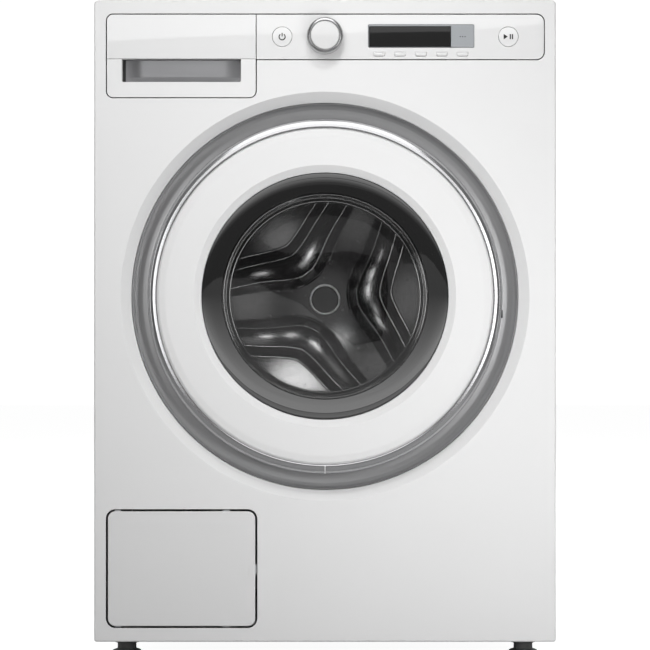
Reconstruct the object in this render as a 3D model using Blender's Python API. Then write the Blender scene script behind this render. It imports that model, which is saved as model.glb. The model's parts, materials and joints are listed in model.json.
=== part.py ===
# Front-loading washing machine, 595 mm wide and 850 mm high, modelled piece by piece at real size.
# Units are metres in Blender; the dimensions below are in millimetres.
# Frame: +X to the right of someone facing the front, +Y to the back, +Z up, origin on the floor
# under the middle of the machine. "d" is the depth behind the flat front face of the cabinet.
import math

import bmesh
import bpy
from mathutils import Matrix, Vector

for old in list(bpy.data.objects):
    bpy.data.objects.remove(old, do_unlink=True)

MM = 0.001

# ---------------------------------------------------------------- driving dimensions (mm)
WIDTH = 595.0            # cabinet width
HEIGHT = 850.0           # floor to the top
FOOT_H = 23.2            # floor to the underside of the cabinet
REAR_D = 585.0           # rearmost point: the end of the water inlet
CAB_D = 570.0            # depth of the cabinet's back
KNOB_PROUD = 20.0        # how far the programme knob stands in front of the cabinet
Y_FRONT = -(KNOB_PROUD + REAR_D) / 2 + KNOB_PROUD   # y of the front face, so that y = 0 is the middle
HALF_W = WIDTH / 2
SHEET = 1.4              # sheet thickness
RETURN_D = 18.0          # depth of the front panel's folded edge
GAP = 0.3

DOOR_Z = 468.5           # height of the door's and the drum's axis
R_DISH = 263.4           # dish in the front panel, at its mouth
R_DISH_IN = 250.0        # dish behind its sloping band
DISH_SLOPE_D = 13.0
DISH_FLOOR_D = 42.0
R_HOLE = 168.0           # loading hole in the dish floor
R_RING_OUT = 249.3       # fixed surround ring
R_RING_IN = 226.5
R_TRIM = 224.0           # door's bright rim
R_COVER = 216.6          # door's white cover
R_COVER_IN = 166.4       # inner edge of its face
R_WINDOW = 158.4         # outer glass
DOOR_FACE_D = -14.0      # the cover stands this far in front of the cabinet
HINGE_X, HINGE_D = -202.0, -5.0
HINGE_EAR_H = 30.0       # half the distance between the hinge ears

DRUM_R = 240.0
TUB_R_IN, TUB_R_OUT = 255.0, 259.0
MOUTH_R = 152.0
DRUM_BACK_D = 392.0

PANEL_Z0, PANEL_Z1 = 773.8, 831.3
PANEL_X0, PANEL_X1 = -88.2, 281.9
DRAWER_X0, DRAWER_X1 = -281.0, -89.2
DRAWER_Z0, DRAWER_Z1 = 724.8, 831.3
GRIP_X0, GRIP_X1, GRIP_Z0, GRIP_Z1 = -261.8, -108.4, 744.5, 774.3
CONTROL_Z = 802.7
POWER_X, KNOB_X, START_X = -55.2, 0.0, 236.2
KEY_X = (69.8, 96.6, 123.5, 150.4, 177.2)
KEY_Z0, KEY_Z1 = 777.9, 783.1
BUTTON_R = 12.7

FLAP_X0, FLAP_X1, FLAP_Z0, FLAP_Z1 = -279.9, -89.6, 43.5, 191.7
FLAP_HINGE_X, FLAP_HINGE_D = -266.8, 3.0
FILTER_X, FILTER_Z = -185.0, 100.0

FOOT_X, FOOT_D = 260.0, (58.0, 525.0)
STRUT_X, STRUT_D = 190.0, (190.0, 400.0)
MOTOR_X, MOTOR_Z = 60.0, 112.0
BELT_D0, BELT_D1 = 486.0, 498.0
PULLEY_R, MOTOR_PULLEY_R = 140.0, 12.0
SPRING_X, SPRING_D = 272.0, 330.0
SPRING_Z0, SPRING_Z1 = 641.0, 820.4


def Y(d):
    return (d + Y_FRONT) * MM


# ---------------------------------------------------------------- materials
def material(name, colour, rough, metal=0.0, alpha=1.0):
    m = bpy.data.materials.new(name)
    m.use_nodes = True
    b = m.node_tree.nodes["Principled BSDF"]
    b.inputs["Base Color"].default_value = (*colour, 1)
    b.inputs["Roughness"].default_value = rough
    b.inputs["Metallic"].default_value = metal
    b.inputs["Alpha"].default_value = alpha
    m.diffuse_color = (*colour, alpha)
    return m


WHITE = material("white_enamel", (0.84, 0.84, 0.84), 0.3)
WHITE_PLASTIC = material("white_plastic", (0.88, 0.88, 0.88), 0.25)
SATIN = material("satin_grey_metal", (0.38, 0.38, 0.39), 0.35, 0.9)
CHROME = material("bright_metal", (0.8, 0.8, 0.82), 0.1, 1.0)
SILVER = material("silver_plastic", (0.6, 0.62, 0.63), 0.35, 0.6)
BLACK_GLASS = material("black_glass", (0.01, 0.01, 0.01), 0.05)
GLASS = material("clear_glass", (0.8, 0.85, 0.85), 0.03, 0.0, 0.3)
STEEL = material("stainless_steel", (0.5, 0.5, 0.5), 0.3, 1.0)
ZINC = material("zinc_plated_steel", (0.55, 0.56, 0.58), 0.45, 0.9)
RUBBER = material("grey_rubber", (0.12, 0.12, 0.12), 0.7)
DARK = material("dark_plastic", (0.05, 0.05, 0.05), 0.5)
GREY = material("grey_plastic", (0.45, 0.46, 0.47), 0.5)
CONCRETE = material("concrete", (0.4, 0.39, 0.37), 0.9)
BOARD = material("circuit_board", (0.03, 0.2, 0.08), 0.6)
BELT = material("belt_rubber", (0.02, 0.02, 0.02), 0.8)


# ---------------------------------------------------------------- modelling helpers
def to_object(name, bm, mat=None, smooth=35):
    bmesh.ops.remove_doubles(bm, verts=bm.verts, dist=1e-7)
    bmesh.ops.recalc_face_normals(bm, faces=bm.faces)
    mesh = bpy.data.meshes.new(name)
    bm.to_mesh(mesh)
    bm.free()
    mesh.shade_smooth()
    mesh.set_sharp_from_angle(angle=math.radians(smooth))
    obj = bpy.data.objects.new(name, mesh)
    bpy.context.scene.collection.objects.link(obj)
    if mat:
        mesh.materials.append(mat)
    return obj


def helper(obj):
    """Marks an object as a cutter or a shape that a Boolean joins."""
    obj.hide_render = True
    obj.display_type = "WIRE"
    return obj


def boolean(obj, other, operation):
    m = obj.modifiers.new(operation.lower() + "_" + other.name, "BOOLEAN")
    m.operation = operation
    m.object = helper(other)
    m.solver = "EXACT"
    return obj


def cut(obj, *others):
    for o in others:
        boolean(obj, o, "DIFFERENCE")
    return obj


def join(obj, *others):
    for o in others:
        boolean(obj, o, "UNION")
    return obj


def turned(name, profile, mat=None, segs=32, axis="Y", at=(0.0, DOOR_Z), phase=0.0, smooth=35):
    """A solid of revolution. The profile is a closed loop of (radius, along) in mm. Along is d for an axis
    along Y through (x, z) = at, and z for an axis along Z through (x, d) = at."""
    bm = bmesh.new()
    a, b = at
    if axis == "Y":
        centre, direction = Vector((a * MM, 0, b * MM)), Vector((0, 1, 0))
        place = lambda r, s: Vector((a * MM + r * MM, Y(s), b * MM))
    else:
        centre, direction = Vector((a * MM, Y(b), 0)), Vector((0, 0, 1))
        place = lambda r, s: Vector((a * MM + r * MM, Y(b), s * MM))
    verts = [bm.verts.new(place(r, s)) for r, s in profile]
    n = len(verts)
    edges = []
    for i in range(n):
        r0, r1 = profile[i][0], profile[(i + 1) % n][0]
        if r0 == 0 and r1 == 0:
            continue  # an edge on the axis sweeps nothing
        edges.append(bm.edges.new((verts[i], verts[(i + 1) % n])))
    if phase:
        bmesh.ops.rotate(bm, cent=centre, matrix=Matrix.Rotation(phase, 3, direction), verts=bm.verts)
    bmesh.ops.spin(bm, geom=edges, cent=centre, axis=direction, angle=2 * math.pi, steps=segs, use_merge=True)
    return to_object(name, bm, mat, smooth)


def box(name, x0, x1, d0, d1, z0, z1, mat=None):
    bm = bmesh.new()
    bmesh.ops.create_cube(bm, size=1.0)
    for v in bm.verts:
        v.co = Vector((
            (x0 + (v.co.x + 0.5) * (x1 - x0)) * MM,
            Y(d0 + (v.co.y + 0.5) * (d1 - d0)),
            (z0 + (v.co.z + 0.5) * (z1 - z0)) * MM,
        ))
    return to_object(name, bm, mat)


def round_rect(x0, x1, z0, z1, radii, steps=4):
    """Outline of a rectangle, anticlockwise from its lower left corner. radii: lower left, lower right, upper right, upper left."""
    out = []
    corners = ((x0, z0, 180), (x1, z0, 270), (x1, z1, 0), (x0, z1, 90))
    for (cx, cz, start), r in zip(corners, radii):
        if r <= 0:
            out.append((cx, cz))
            continue
        mx = cx + (r if cx == x0 else -r)
        mz = cz + (r if cz == z0 else -r)
        for i in range(steps + 1):
            t = math.radians(start + 90 * i / steps)
            out.append((mx + r * math.cos(t), mz + r * math.sin(t)))
    return out


def prism(name, outline, along0, along1, mat=None, plane="XZ", smooth=35):
    """Extrudes a closed outline in mm: XZ outlines run along d, XD outlines run along z, DZ outlines run along x."""
    def place(p, s):
        if plane == "XZ":
            return Vector((p[0] * MM, Y(s), p[1] * MM))
        if plane == "XD":
            return Vector((p[0] * MM, Y(p[1]), s * MM))
        return Vector((s * MM, Y(p[0]), p[1] * MM))
    bm = bmesh.new()
    face = bm.faces.new([bm.verts.new(place(p, along0)) for p in outline])
    made = bmesh.ops.extrude_face_region(bm, geom=[face])
    shift = place(outline[0], along1) - place(outline[0], along0)
    bmesh.ops.translate(bm, vec=shift, verts=[g for g in made["geom"] if isinstance(g, bmesh.types.BMVert)])
    return to_object(name, bm, mat, smooth)


def loft(name, rings, mat=None, smooth=35):
    """Rings of (x, d, z) points in mm with equal counts, bridged in turn and closed at both ends."""
    bm = bmesh.new()
    rows = [[bm.verts.new(Vector((x * MM, Y(d), z * MM))) for x, d, z in ring] for ring in rings]
    for a, b in zip(rows, rows[1:]):
        for i in range(len(a)):
            j = (i + 1) % len(a)
            bm.faces.new((a[i], a[j], b[j], b[i]))
    bm.faces.new(rows[0])
    bm.faces.new(rows[-1])
    return to_object(name, bm, mat, smooth)


def pivot(name, objs, pos):
    """Parents the pieces of one moving body to an empty on its joint's axis."""
    empty = bpy.data.objects.new(name, None)
    empty.empty_display_size = 0.02
    empty.location = pos
    bpy.context.scene.collection.objects.link(empty)
    inverse = Matrix.Translation(Vector(pos)).inverted()
    for o in objs:
        o.parent = empty
        o.matrix_parent_inverse = inverse
    return empty


# ---------------------------------------------------------------- cabinet
def panel_ring(inset, d, low_r=3.0, top_r=5.0):
    r0, r1 = max(low_r - inset, 0.4), max(top_r - inset, 0.6)
    pts = round_rect(-HALF_W + inset, HALF_W - inset, FOOT_H + inset, HEIGHT - inset, (r0, r0, r1, r1), 3)
    return [(x, d, z) for x, z in pts]


front_panel = loft("front_panel", [
    panel_ring(2.4, 0.0), panel_ring(0.7, 0.7), panel_ring(0.0, 2.4), panel_ring(0.0, RETURN_D),
    panel_ring(SHEET, RETURN_D), panel_ring(SHEET, SHEET),
], WHITE)
dish_back = turned("dish_back_shape", [
    (R_DISH + 3.6, 1.0), (R_DISH + 3.6, 3.0), (R_DISH_IN + 3.2, 15.5), (R_DISH_IN + SHEET, 18.0),
    (R_DISH_IN + SHEET, DISH_FLOOR_D - 0.1), (R_DISH_IN - 12.0, DISH_FLOOR_D - 0.1), (R_DISH_IN - 12.0, 1.0),
])
slope = (R_DISH - R_DISH_IN) / DISH_SLOPE_D
dish_cavity = turned("dish_cavity_cutter", [
    (0, -5.0), (R_DISH + 5.0 * slope, -5.0), (R_DISH_IN, DISH_SLOPE_D), (R_DISH_IN, DISH_FLOOR_D + 5.0), (0, DISH_FLOOR_D + 5.0),
])
panel_cut = prism("panel_opening_cutter", round_rect(
    DRAWER_X0 + 40, PANEL_X1 + 1.0, PANEL_Z0 - 1.0, DRAWER_Z1 + 1.0, (0, 10, 10, 0)), -5, 12)
drawer_cut = prism("drawer_opening_cutter", round_rect(
    DRAWER_X0 - 1.0, DRAWER_X1 + 0.9, DRAWER_Z0 - 1.0, DRAWER_Z1 + 0.99, (9, 9, 0, 9)), -5, 12)
flap_cut = prism("flap_opening_cutter", round_rect(
    FLAP_X0 - 2.0, FLAP_X1 + 2.0, FLAP_Z0 - 2.0, FLAP_Z1 + 2.0, (12, 12, 12, 12)), -5, 12)
latch_cut = box("latch_slot_cutter", 182, 208, 38, 50, DOOR_Z - 9, DOOR_Z + 9)
join(front_panel, dish_back)
cut(front_panel, dish_cavity, panel_cut, drawer_cut, flap_cut)
weld = front_panel.modifiers.new("weld", "WELD")
weld.merge_threshold = 2e-6

# the floor of the dish: a flat ring behind the wall, with the loading hole and the slot for the latch hook
recess_plate = turned("door_recess_plate", [
    (R_HOLE, DISH_FLOOR_D + 0.05), (R_DISH_IN + 4.0, DISH_FLOOR_D + 0.05), (R_DISH_IN + 4.0, DISH_FLOOR_D + SHEET), (R_HOLE, DISH_FLOOR_D + SHEET),
], WHITE)
cut(recess_plate, latch_cut)

SIDE_D0 = RETURN_D + 0.4
for side, sign in (("left", -1), ("right", 1)):
    out, inn, flange = sign * HALF_W, sign * (HALF_W - SHEET), sign * (HALF_W - 42.0)
    outline = [(out, FOOT_H), (out, 827.0), (inn, 827.0), (inn, 822.8), (flange, 822.8), (flange, 820.8), (inn, 820.8), (inn, FOOT_H)]
    prism(f"side_panel_{side}", outline, SIDE_D0, CAB_D - SHEET - GAP, WHITE)

rear_panel = prism("rear_panel", round_rect(-HALF_W, HALF_W, FOOT_H, 827.0, (3, 3, 3, 3), 2), CAB_D - SHEET, CAB_D, ZINC)
rear_boss = turned("rear_emboss_shape", [(0, CAB_D - 0.9), (205, CAB_D - 0.9), (190, CAB_D + 6.0), (0, CAB_D + 6.0)])
rear_boss_cut = turned("rear_emboss_cutter", [(0, CAB_D - 6.0), (202, CAB_D - 6.0), (202, CAB_D - 1.6), (188, CAB_D + 4.4), (0, CAB_D + 4.4)])
inlet_hole = turned("inlet_hole_cutter", [(0, 560), (17, 560), (17, 575), (0, 575)], segs=16, at=(-215.0, 770.0))
drain_hole = turned("drain_hole_cutter", [(0, 560), (13.5, 560), (13.5, 575), (0, 575)], segs=16, at=(-245.0, 75.0))
mains_hole = box("mains_hole_cutter", 198.0, 232.0, 560, 575, 755.0, 781.0)
join(rear_panel, rear_boss)
cut(rear_panel, rear_boss_cut, inlet_hole, drain_hole, mains_hole)

top_ring = lambda inset, z: [(x, d, z) for x, d in round_rect(
    -HALF_W + inset, HALF_W - inset, SIDE_D0 + inset, CAB_D - inset, (3, 3, 6, 6), 2)]
loft("top_cover", [top_ring(0.0, 827.4), top_ring(0.0, HEIGHT - 2.0), top_ring(0.6, HEIGHT - 0.6), top_ring(2.0, HEIGHT)], WHITE)

base_tray = box("base_tray", -HALF_W + SHEET + GAP, HALF_W - SHEET - GAP, RETURN_D + 0.6, CAB_D - SHEET - GAP, FOOT_H, 48.0, ZINC)
base_hollow = box("base_hollow_cutter", -HALF_W + 2 * SHEET + GAP, HALF_W - 2 * SHEET - GAP, RETURN_D + 2.6, CAB_D - 2 * SHEET - GAP, FOOT_H + SHEET, 60.0)
cut(base_tray, base_hollow)
for i, d in enumerate(FOOT_D):
    for sign in (-1, 1):
        cut(base_tray, turned(f"foot_hole_cutter_{i}_{sign + 1}", [(0, 15), (5.6, 15), (5.6, 35), (0, 35)], segs=12, axis="Z", at=(sign * FOOT_X, d)))

# Levelling feet: a hexagon over a neck and a rubber pad, with a threaded stem up through the tray.
for corner, sign, d in (("front_left", -1, FOOT_D[0]), ("front_right", 1, FOOT_D[0]), ("rear_left", -1, FOOT_D[1]), ("rear_right", 1, FOOT_D[1])):
    foot = turned(f"foot_{corner}", [
        (0, 0), (17.5, 0), (18.8, 1.5), (18.8, 5.5), (12.2, 7.5), (12.2, 15.8), (5.0, 15.8), (5.0, 62), (4.0, 63.5), (0, 63.5),
    ], RUBBER, segs=12, axis="Z", at=(sign * FOOT_X, d))
    hexagon = turned(f"hexagon_shape_{corner}", [(0, 15.0), (16.2, 15.0), (18.5, 16.6), (18.5, 22.0), (0, 22.0)],
                     segs=6, axis="Z", at=(sign * FOOT_X, d), smooth=5)
    join(foot, hexagon)
    pivot(f"pivot_foot_{corner}", [foot], (sign * FOOT_X * MM, Y(d), FOOT_H * MM))

# ---------------------------------------------------------------- control panel
control_panel = prism("control_panel", round_rect(PANEL_X0, PANEL_X1, PANEL_Z0, PANEL_Z1, (0, 9.5, 9.5, 0)), 0.0, 6.0, WHITE_PLASTIC)
for tag, x in (("power", POWER_X), ("start", START_X)):
    cut(control_panel, turned(f"{tag}_hole_cutter", [(0, -4), (BUTTON_R + 0.5, -4), (BUTTON_R + 0.5, 10), (0, 10)], segs=20, at=(x, CONTROL_Z)))
cut(control_panel, turned("knob_hole_cutter", [(0, -4), (5.2, -4), (5.2, 10), (0, 10)], segs=12, at=(KNOB_X, CONTROL_Z)))
cut(control_panel, box("display_hole_cutter", 55.3, 192.3, -4, 10, 788.5, 818.7))
for i, x in enumerate(KEY_X):
    cut(control_panel, prism(f"key_hole_cutter_{i}", round_rect(x - 7.9, x + 7.9, KEY_Z0 - 0.4, KEY_Z1 + 0.4, (3, 3, 1, 1), 2), -4, 10))

display_frame = prism("display_frame", round_rect(55.6, 192.0, 788.8, 818.4, (1.5, 1.5, 1.5, 1.5), 2), -0.8, 6.0, SILVER)
cut(display_frame, box("window_cutter", 57.2, 162.1, -4, 4.0, 790.1, 816.1))
box("display_window", 57.5, 161.8, -0.3, 3.7, 790.4, 815.8, BLACK_GLASS)

control_board = box("control_board", -82, 274, 12.0, 14.0, 777.0, 826.0, BOARD)
join(control_board, box("relay_shape", 196, 250, 13.0, 38.0, 782, 822), box("transformer_shape", -75, -20, 13.0, 34.0, 782, 820))

buttons = []
for tag, x in (("power_button", POWER_X), ("start_button", START_X)):
    b = turned(tag, [(0, -0.9), (BUTTON_R - 1.0, -0.9), (BUTTON_R, 0.0), (BUTTON_R, 6.8), (BUTTON_R + 1.6, 6.8), (BUTTON_R + 1.6, 8.6), (0, 8.6)],
               WHITE_PLASTIC, segs=20, at=(x, CONTROL_Z))
    buttons.append((tag, b, x, CONTROL_Z))
for i, x in enumerate(KEY_X):
    tag = f"option_key_{i + 1}"
    k = prism(tag, round_rect(x - 7.5, x + 7.5, KEY_Z0, KEY_Z1, (2.6, 2.6, 0.7, 0.7), 3), -1.4, 6.8, WHITE_PLASTIC)
    join(k, box(f"key_foot_shape_{i}", x - 9.2, x + 9.2, 6.4, 8.6, KEY_Z0 - 1.4, KEY_Z1 + 1.4))
    buttons.append((tag, k, x, (KEY_Z0 + KEY_Z1) / 2))
for tag, obj, x, z in buttons:
    pivot(f"pivot_{tag}", [obj], (x * MM, Y(0), z * MM))

knob_ring = turned("knob_ring", [
    (0, -15.0), (18.2, -15.0), (18.2, -17.6), (19.6, -18.6), (21.6, -17.0), (23.1, -13.0), (23.1, -2.6), (22.2, -1.2), (4.2, -1.2), (4.2, 10.0), (0, 10.0),
], CHROME, segs=24, at=(KNOB_X, CONTROL_Z))
knob_cap = turned("knob_cap", [(0, -KNOB_PROUD), (16.6, -KNOB_PROUD), (17.8, -19.0), (17.8, -15.3), (0, -15.3)], WHITE_PLASTIC, segs=24, at=(KNOB_X, CONTROL_Z))
pivot("pivot_knob", [knob_ring, knob_cap], (KNOB_X * MM, Y(0), CONTROL_Z * MM))

# ---------------------------------------------------------------- detergent drawer
drawer_front = prism("drawer_front", round_rect(DRAWER_X0, DRAWER_X1, DRAWER_Z0, DRAWER_Z1, (8, 8, 0, 8)), 0.0, 17.8, WHITE_PLASTIC)
cut(drawer_front,
    prism("grip_cutter", round_rect(GRIP_X0, GRIP_X1, GRIP_Z0, GRIP_Z1, (2, 2, 0, 0), 2), -5, 15.4),
    box("front_back_cutter", DRAWER_X0 + 4, DRAWER_X1 - 4, 3.0, 30.0, GRIP_Z1 + 3.0, DRAWER_Z1 - 4.0))
handle_plate = box("drawer_handle_plate", GRIP_X0 + 1.0, GRIP_X1 - 1.0, 12.6, 15.1, GRIP_Z0 + 1.0, GRIP_Z1 - GAP, SATIN)
TRAY_X0, TRAY_X1, TRAY_Z0, TRAY_Z1, TRAY_D1 = -274.0, -97.0, 750.0, 808.0, 262.0
drawer_tray = box("drawer_tray", TRAY_X0, TRAY_X1, 18.1, TRAY_D1, TRAY_Z0, TRAY_Z1, GREY)
cut(drawer_tray,
    box("main_wash_cutter", TRAY_X0 + 2.5, -168.0, 20.6, TRAY_D1 - 3.0, TRAY_Z0 + 2.5, 820),
    box("prewash_cutter", -165.5, TRAY_X1 - 2.5, 20.6, 140.0, TRAY_Z0 + 2.5, 820),
    box("softener_cutter", -165.5, TRAY_X1 - 2.5, 142.5, TRAY_D1 - 3.0, TRAY_Z0 + 2.5, 820))
pivot("pivot_drawer", [drawer_front, handle_plate, drawer_tray], (-185.0 * MM, Y(0), 778.0 * MM))

dispenser_housing = box("dispenser_housing", -280.0, -91.0, 20.0, 292.0, 745.0, 818.0, GREY)
cut(dispenser_housing, box("housing_cutter", -277.0, -94.0, 10.0, 289.0, 748.0, 815.0))
cut(dispenser_housing, box("front_relief_cutter", -290.0, -80.0, 10.0, 24.9, 740.0, 830.0))
join(dispenser_housing, turned("outlet_shape", [(0, 738.5), (14, 738.5), (14, 746.5), (0, 746.5)], segs=12, axis="Z", at=(-200.0, 240.0)))

# ---------------------------------------------------------------- filter flap, filter cap and pump
filter_flap = prism("filter_flap", round_rect(FLAP_X0, FLAP_X1, FLAP_Z0, FLAP_Z1, (10, 10, 10, 10)), 0.0, 3.0, WHITE_PLASTIC)
join(filter_flap,
     box("flap_rib_top_shape", -258, -110, 2.5, 7.0, 176, 179),
     box("flap_rib_low_shape", -258, -110, 2.5, 7.0, 57, 60),
     box("flap_pin_top_shape", -270.8, -262.8, 0.8, 5.2, 184, FLAP_Z1 + 1.6),
     box("flap_pin_low_shape", -270.8, -262.8, 0.8, 5.2, FLAP_Z0 - 1.6, 51),
     box("flap_catch_shape", -96.0, FLAP_X1 + 1.4, 0.9, 6.0, 110.0, 123.0))
pivot("pivot_flap", [filter_flap], (FLAP_HINGE_X * MM, Y(FLAP_HINGE_D), 117.6 * MM))

filter_cap = turned("filter_cap", [(0, 24.0), (26, 24.0), (28, 26.0), (28, 34.0), (20, 34.0), (20, 60.0), (0, 60.0)], DARK, segs=20, at=(FILTER_X, FILTER_Z))
join(filter_cap, box("cap_grip_shape", FILTER_X - 23, FILTER_X + 23, 13.0, 25.0, FILTER_Z - 3.5, FILTER_Z + 3.5))
pivot("pivot_filter_cap", [filter_cap], (FILTER_X * MM, Y(30), FILTER_Z * MM))

pump_housing = box("pump_housing", -275.0, -95.0, 36.0, 39.0, 50.0, 188.0, GREY)
join(pump_housing,
     turned("pump_body_shape", [(0, 37.5), (36, 37.5), (36, 120.0), (30, 150.0), (0, 150.0)], segs=20, at=(FILTER_X, FILTER_Z)),
     turned("drain_pipe_shape", [(0, 110.0), (11, 110.0), (11, 580.0), (0, 580.0)], segs=12, at=(-245.0, 75.0)),
     box("pipe_bridge_shape", -246, -200, 108.0, 130.0, 68.0, 84.0),
     box("pump_stand_shape", -215, -155, 60.0, 140.0, 26.0, 80.0))
cut(pump_housing,
    turned("filter_bore_cutter", [(0, 30), (22, 30), (22, 100), (0, 100)], segs=20, at=(FILTER_X, FILTER_Z)),
    turned("drain_bore_cutter", [(0, 530), (8.0, 530), (8.0, 600), (0, 600)], segs=12, at=(-245.0, 75.0)))

# ---------------------------------------------------------------- water inlet and mains inlet
inlet_valve = box("inlet_valve", -238.0, -192.0, 520.0, 566.0, 752.0, 788.0, GREY)
join(inlet_valve, turned("inlet_thread_shape", [(0, 550), (13.2, 550), (13.2, REAR_D), (0, REAR_D)], segs=20, at=(-215.0, 770.0)))
cut(inlet_valve, turned("inlet_bore_cutter", [(0, 545), (8.5, 545), (8.5, 600), (0, 600)], segs=16, at=(-215.0, 770.0)))
mains_inlet = box("mains_inlet", 199.0, 231.0, 535.0, 576.0, 756.0, 780.0, DARK)
cut(mains_inlet, box("mains_socket_cutter", 203.0, 227.0, 558.0, 590.0, 760.0, 776.0))

# ---------------------------------------------------------------- door surround, lock and hinge
turned("door_surround_ring", [
    (R_RING_OUT, 11.0), (R_RING_OUT, 26.0), (R_RING_IN, 26.0), (R_RING_IN, 12.4), (228.0, 11.6), (232.0, 15.5), (238.5, 18.4), (244.5, 16.4), (248.3, 10.6),
], SATIN)

door_lock = box("door_lock", 176.0, 214.0, DISH_FLOOR_D + SHEET + GAP, 58.5, DOOR_Z - 36, DOOR_Z + 36, DARK)
cut(door_lock, box("lock_cutter", 181.0, 209.0, 40.0, 56.8, DOOR_Z - 9.5, DOOR_Z + 9.5))


def hinge_ear(name, z0, z1):
    """The cranked ear that carries the pin: an eye round the pin, a neck towards the middle, then back to the floor of the dish."""
    hx, hd = HINGE_X, HINGE_D
    eye = [(hx + 4.7 * math.cos(math.radians(a)), hd + 4.7 * math.sin(math.radians(a))) for a in range(75, 286, 30)]
    outline = eye + [(hx + 26.0, hd - 3.9), (hx + 31.5, hd - 1.0), (hx + 33.0, hd + 5.0), (hx + 33.0, 41.0), (hx + 24.0, 41.0), (hx + 24.0, hd + 8.0), (hx + 20.0, hd + 4.6)]
    return prism(name, outline, z0, z1, plane="XD")


hinge_bracket = box("door_hinge_bracket", -197.0, -169.0, 38.9, 41.6, DOOR_Z - 38, DOOR_Z + 38, ZINC)
join(hinge_bracket,
     hinge_ear("upper_ear_shape", DOOR_Z + HINGE_EAR_H, DOOR_Z + HINGE_EAR_H + 4.5),
     hinge_ear("lower_ear_shape", DOOR_Z - HINGE_EAR_H - 4.5, DOOR_Z - HINGE_EAR_H),
     turned("hinge_pin_shape", [(0, DOOR_Z - 37), (2.6, DOOR_Z - 37), (2.6, DOOR_Z + 37), (0, DOOR_Z + 37)], segs=16, axis="Z", at=(HINGE_X, HINGE_D)))

# ---------------------------------------------------------------- door
door = []
door.append(turned("door_trim_ring", [
    (R_TRIM, -3.2), (R_TRIM, -6.2), (222.8, -9.4), (220.6, -11.6), (218.2, -12.6), (217.0, -12.6), (217.0, -3.2),
], CHROME))
door.append(turned("door_cover", [
    (R_COVER, -3.2), (R_COVER, -12.2), (190.0, DOOR_FACE_D), (168.0, DOOR_FACE_D), (158.9, -6.0), (158.9, -3.6),
    (161.5, -3.6), (168.0, -10.4), (212.6, -10.2), (213.2, -3.2),
], WHITE_PLASTIC))
door.append(turned("door_window", [(0, -6.6), (150.0, -6.2), (R_WINDOW, -5.4), (R_WINDOW, -2.2), (0, -2.2)], BLACK_GLASS))
door.append(turned("door_bowl", [
    (150.0, -1.8), (150.0, 4.8), (137.0, 4.8), (132.5, 60.0), (126.0, 95.0), (106.0, 113.0), (0, 119.0),
    (0, 115.0), (104.0, 109.0), (122.5, 92.5), (128.5, 59.0), (133.5, -1.8),
], GLASS))
inner_frame = turned("door_inner_frame", [
    (212.5, -2.4), (212.5, 26.0), (203.0, 37.0), (162.0, 37.0), (139.5, 28.0), (139.5, 5.3),
    (150.5, 5.3), (150.5, 28.5), (163.0, 34.0), (202.0, 34.0), (209.5, 25.0), (209.5, -2.4),
], GREY)
cut(inner_frame,
    box("hinge_notch_cutter", -230.0, -163.0, -10.0, 50.0, DOOR_Z - 44, DOOR_Z + 44),
    box("hook_slot_cutter", 186.0, 198.0, 30.0, 45.0, DOOR_Z - 7, DOOR_Z + 7))
door.append(inner_frame)
door.append(turned("door_seal", [
    (141.0, 29.4), (160.5, 37.2), (161.0, 44.2), (152.0, 44.2), (141.0, 36.5),
], RUBBER))
hinge_leaf = turned("door_hinge_leaf", [(3.2, DOOR_Z - 29.4), (4.9, DOOR_Z - 29.4), (4.9, DOOR_Z + 29.4), (3.2, DOOR_Z + 29.4)],
                    ZINC, segs=16, axis="Z", at=(HINGE_X, HINGE_D))
join(hinge_leaf, box("leaf_plate_shape", HINGE_X + 4.0, -172.0, -9.8, -6.0, DOOR_Z - 29.0, DOOR_Z + 29.0))
door.append(hinge_leaf)
pivot("pivot_door", door, (HINGE_X * MM, Y(HINGE_D), DOOR_Z * MM))

LATCH_X, LATCH_D = 192.0, 26.0
latch_hook = prism("latch_hook", [
    (189.6, 20.0), (194.4, 20.0), (194.4, 48.0), (199.0, 49.0), (195.5, 54.5), (189.6, 54.5),
], DOOR_Z - 5, DOOR_Z + 5, ZINC, plane="XD")
pivot("pivot_latch", [latch_hook], (LATCH_X * MM, Y(LATCH_D), DOOR_Z * MM))

# ---------------------------------------------------------------- tub, which hangs on springs and stands on four dampers
tub_front = turned("tub_front", [
    (160.0, 45.0), (160.0, 46.6), (MOUTH_R + 2, 46.6), (MOUTH_R + 2, 61.0), (TUB_R_IN - 8, 61.0), (TUB_R_OUT, 70.0), (TUB_R_OUT, 94.0), (266.0, 94.0), (266.0, 98.0),
    (TUB_R_IN, 98.0), (TUB_R_IN, 72.0), (TUB_R_IN - 10, 64.0), (MOUTH_R, 64.0), (MOUTH_R, 45.0),
], GREY, segs=24)
tub_rear = turned("tub_rear", [
    (266.0, 98.4), (266.0, 102.4), (TUB_R_OUT, 102.4), (TUB_R_OUT, 424.0), (TUB_R_OUT - 7, 431.0), (48.0, 434.0), (44.0, 474.0), (15.8, 474.0),
    (15.8, 428.0), (TUB_R_IN - 6, 426.0), (TUB_R_IN, 421.0), (TUB_R_IN, 98.4),
], GREY, segs=24)
for sign in (-1, 1):
    a, b = sorted((sign * 180.0, sign * 286.0))
    join(tub_rear, box(f"spring_lug_shape_{sign + 1}", a, b, SPRING_D - 16, SPRING_D + 16, 634.0, SPRING_Z0 - GAP))
cut(tub_rear, turned("tub_inside_cutter", [(0, 120.0), (TUB_R_IN - 0.2, 120.0), (TUB_R_IN - 0.2, 418.0), (0, 418.0)], segs=24))

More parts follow.
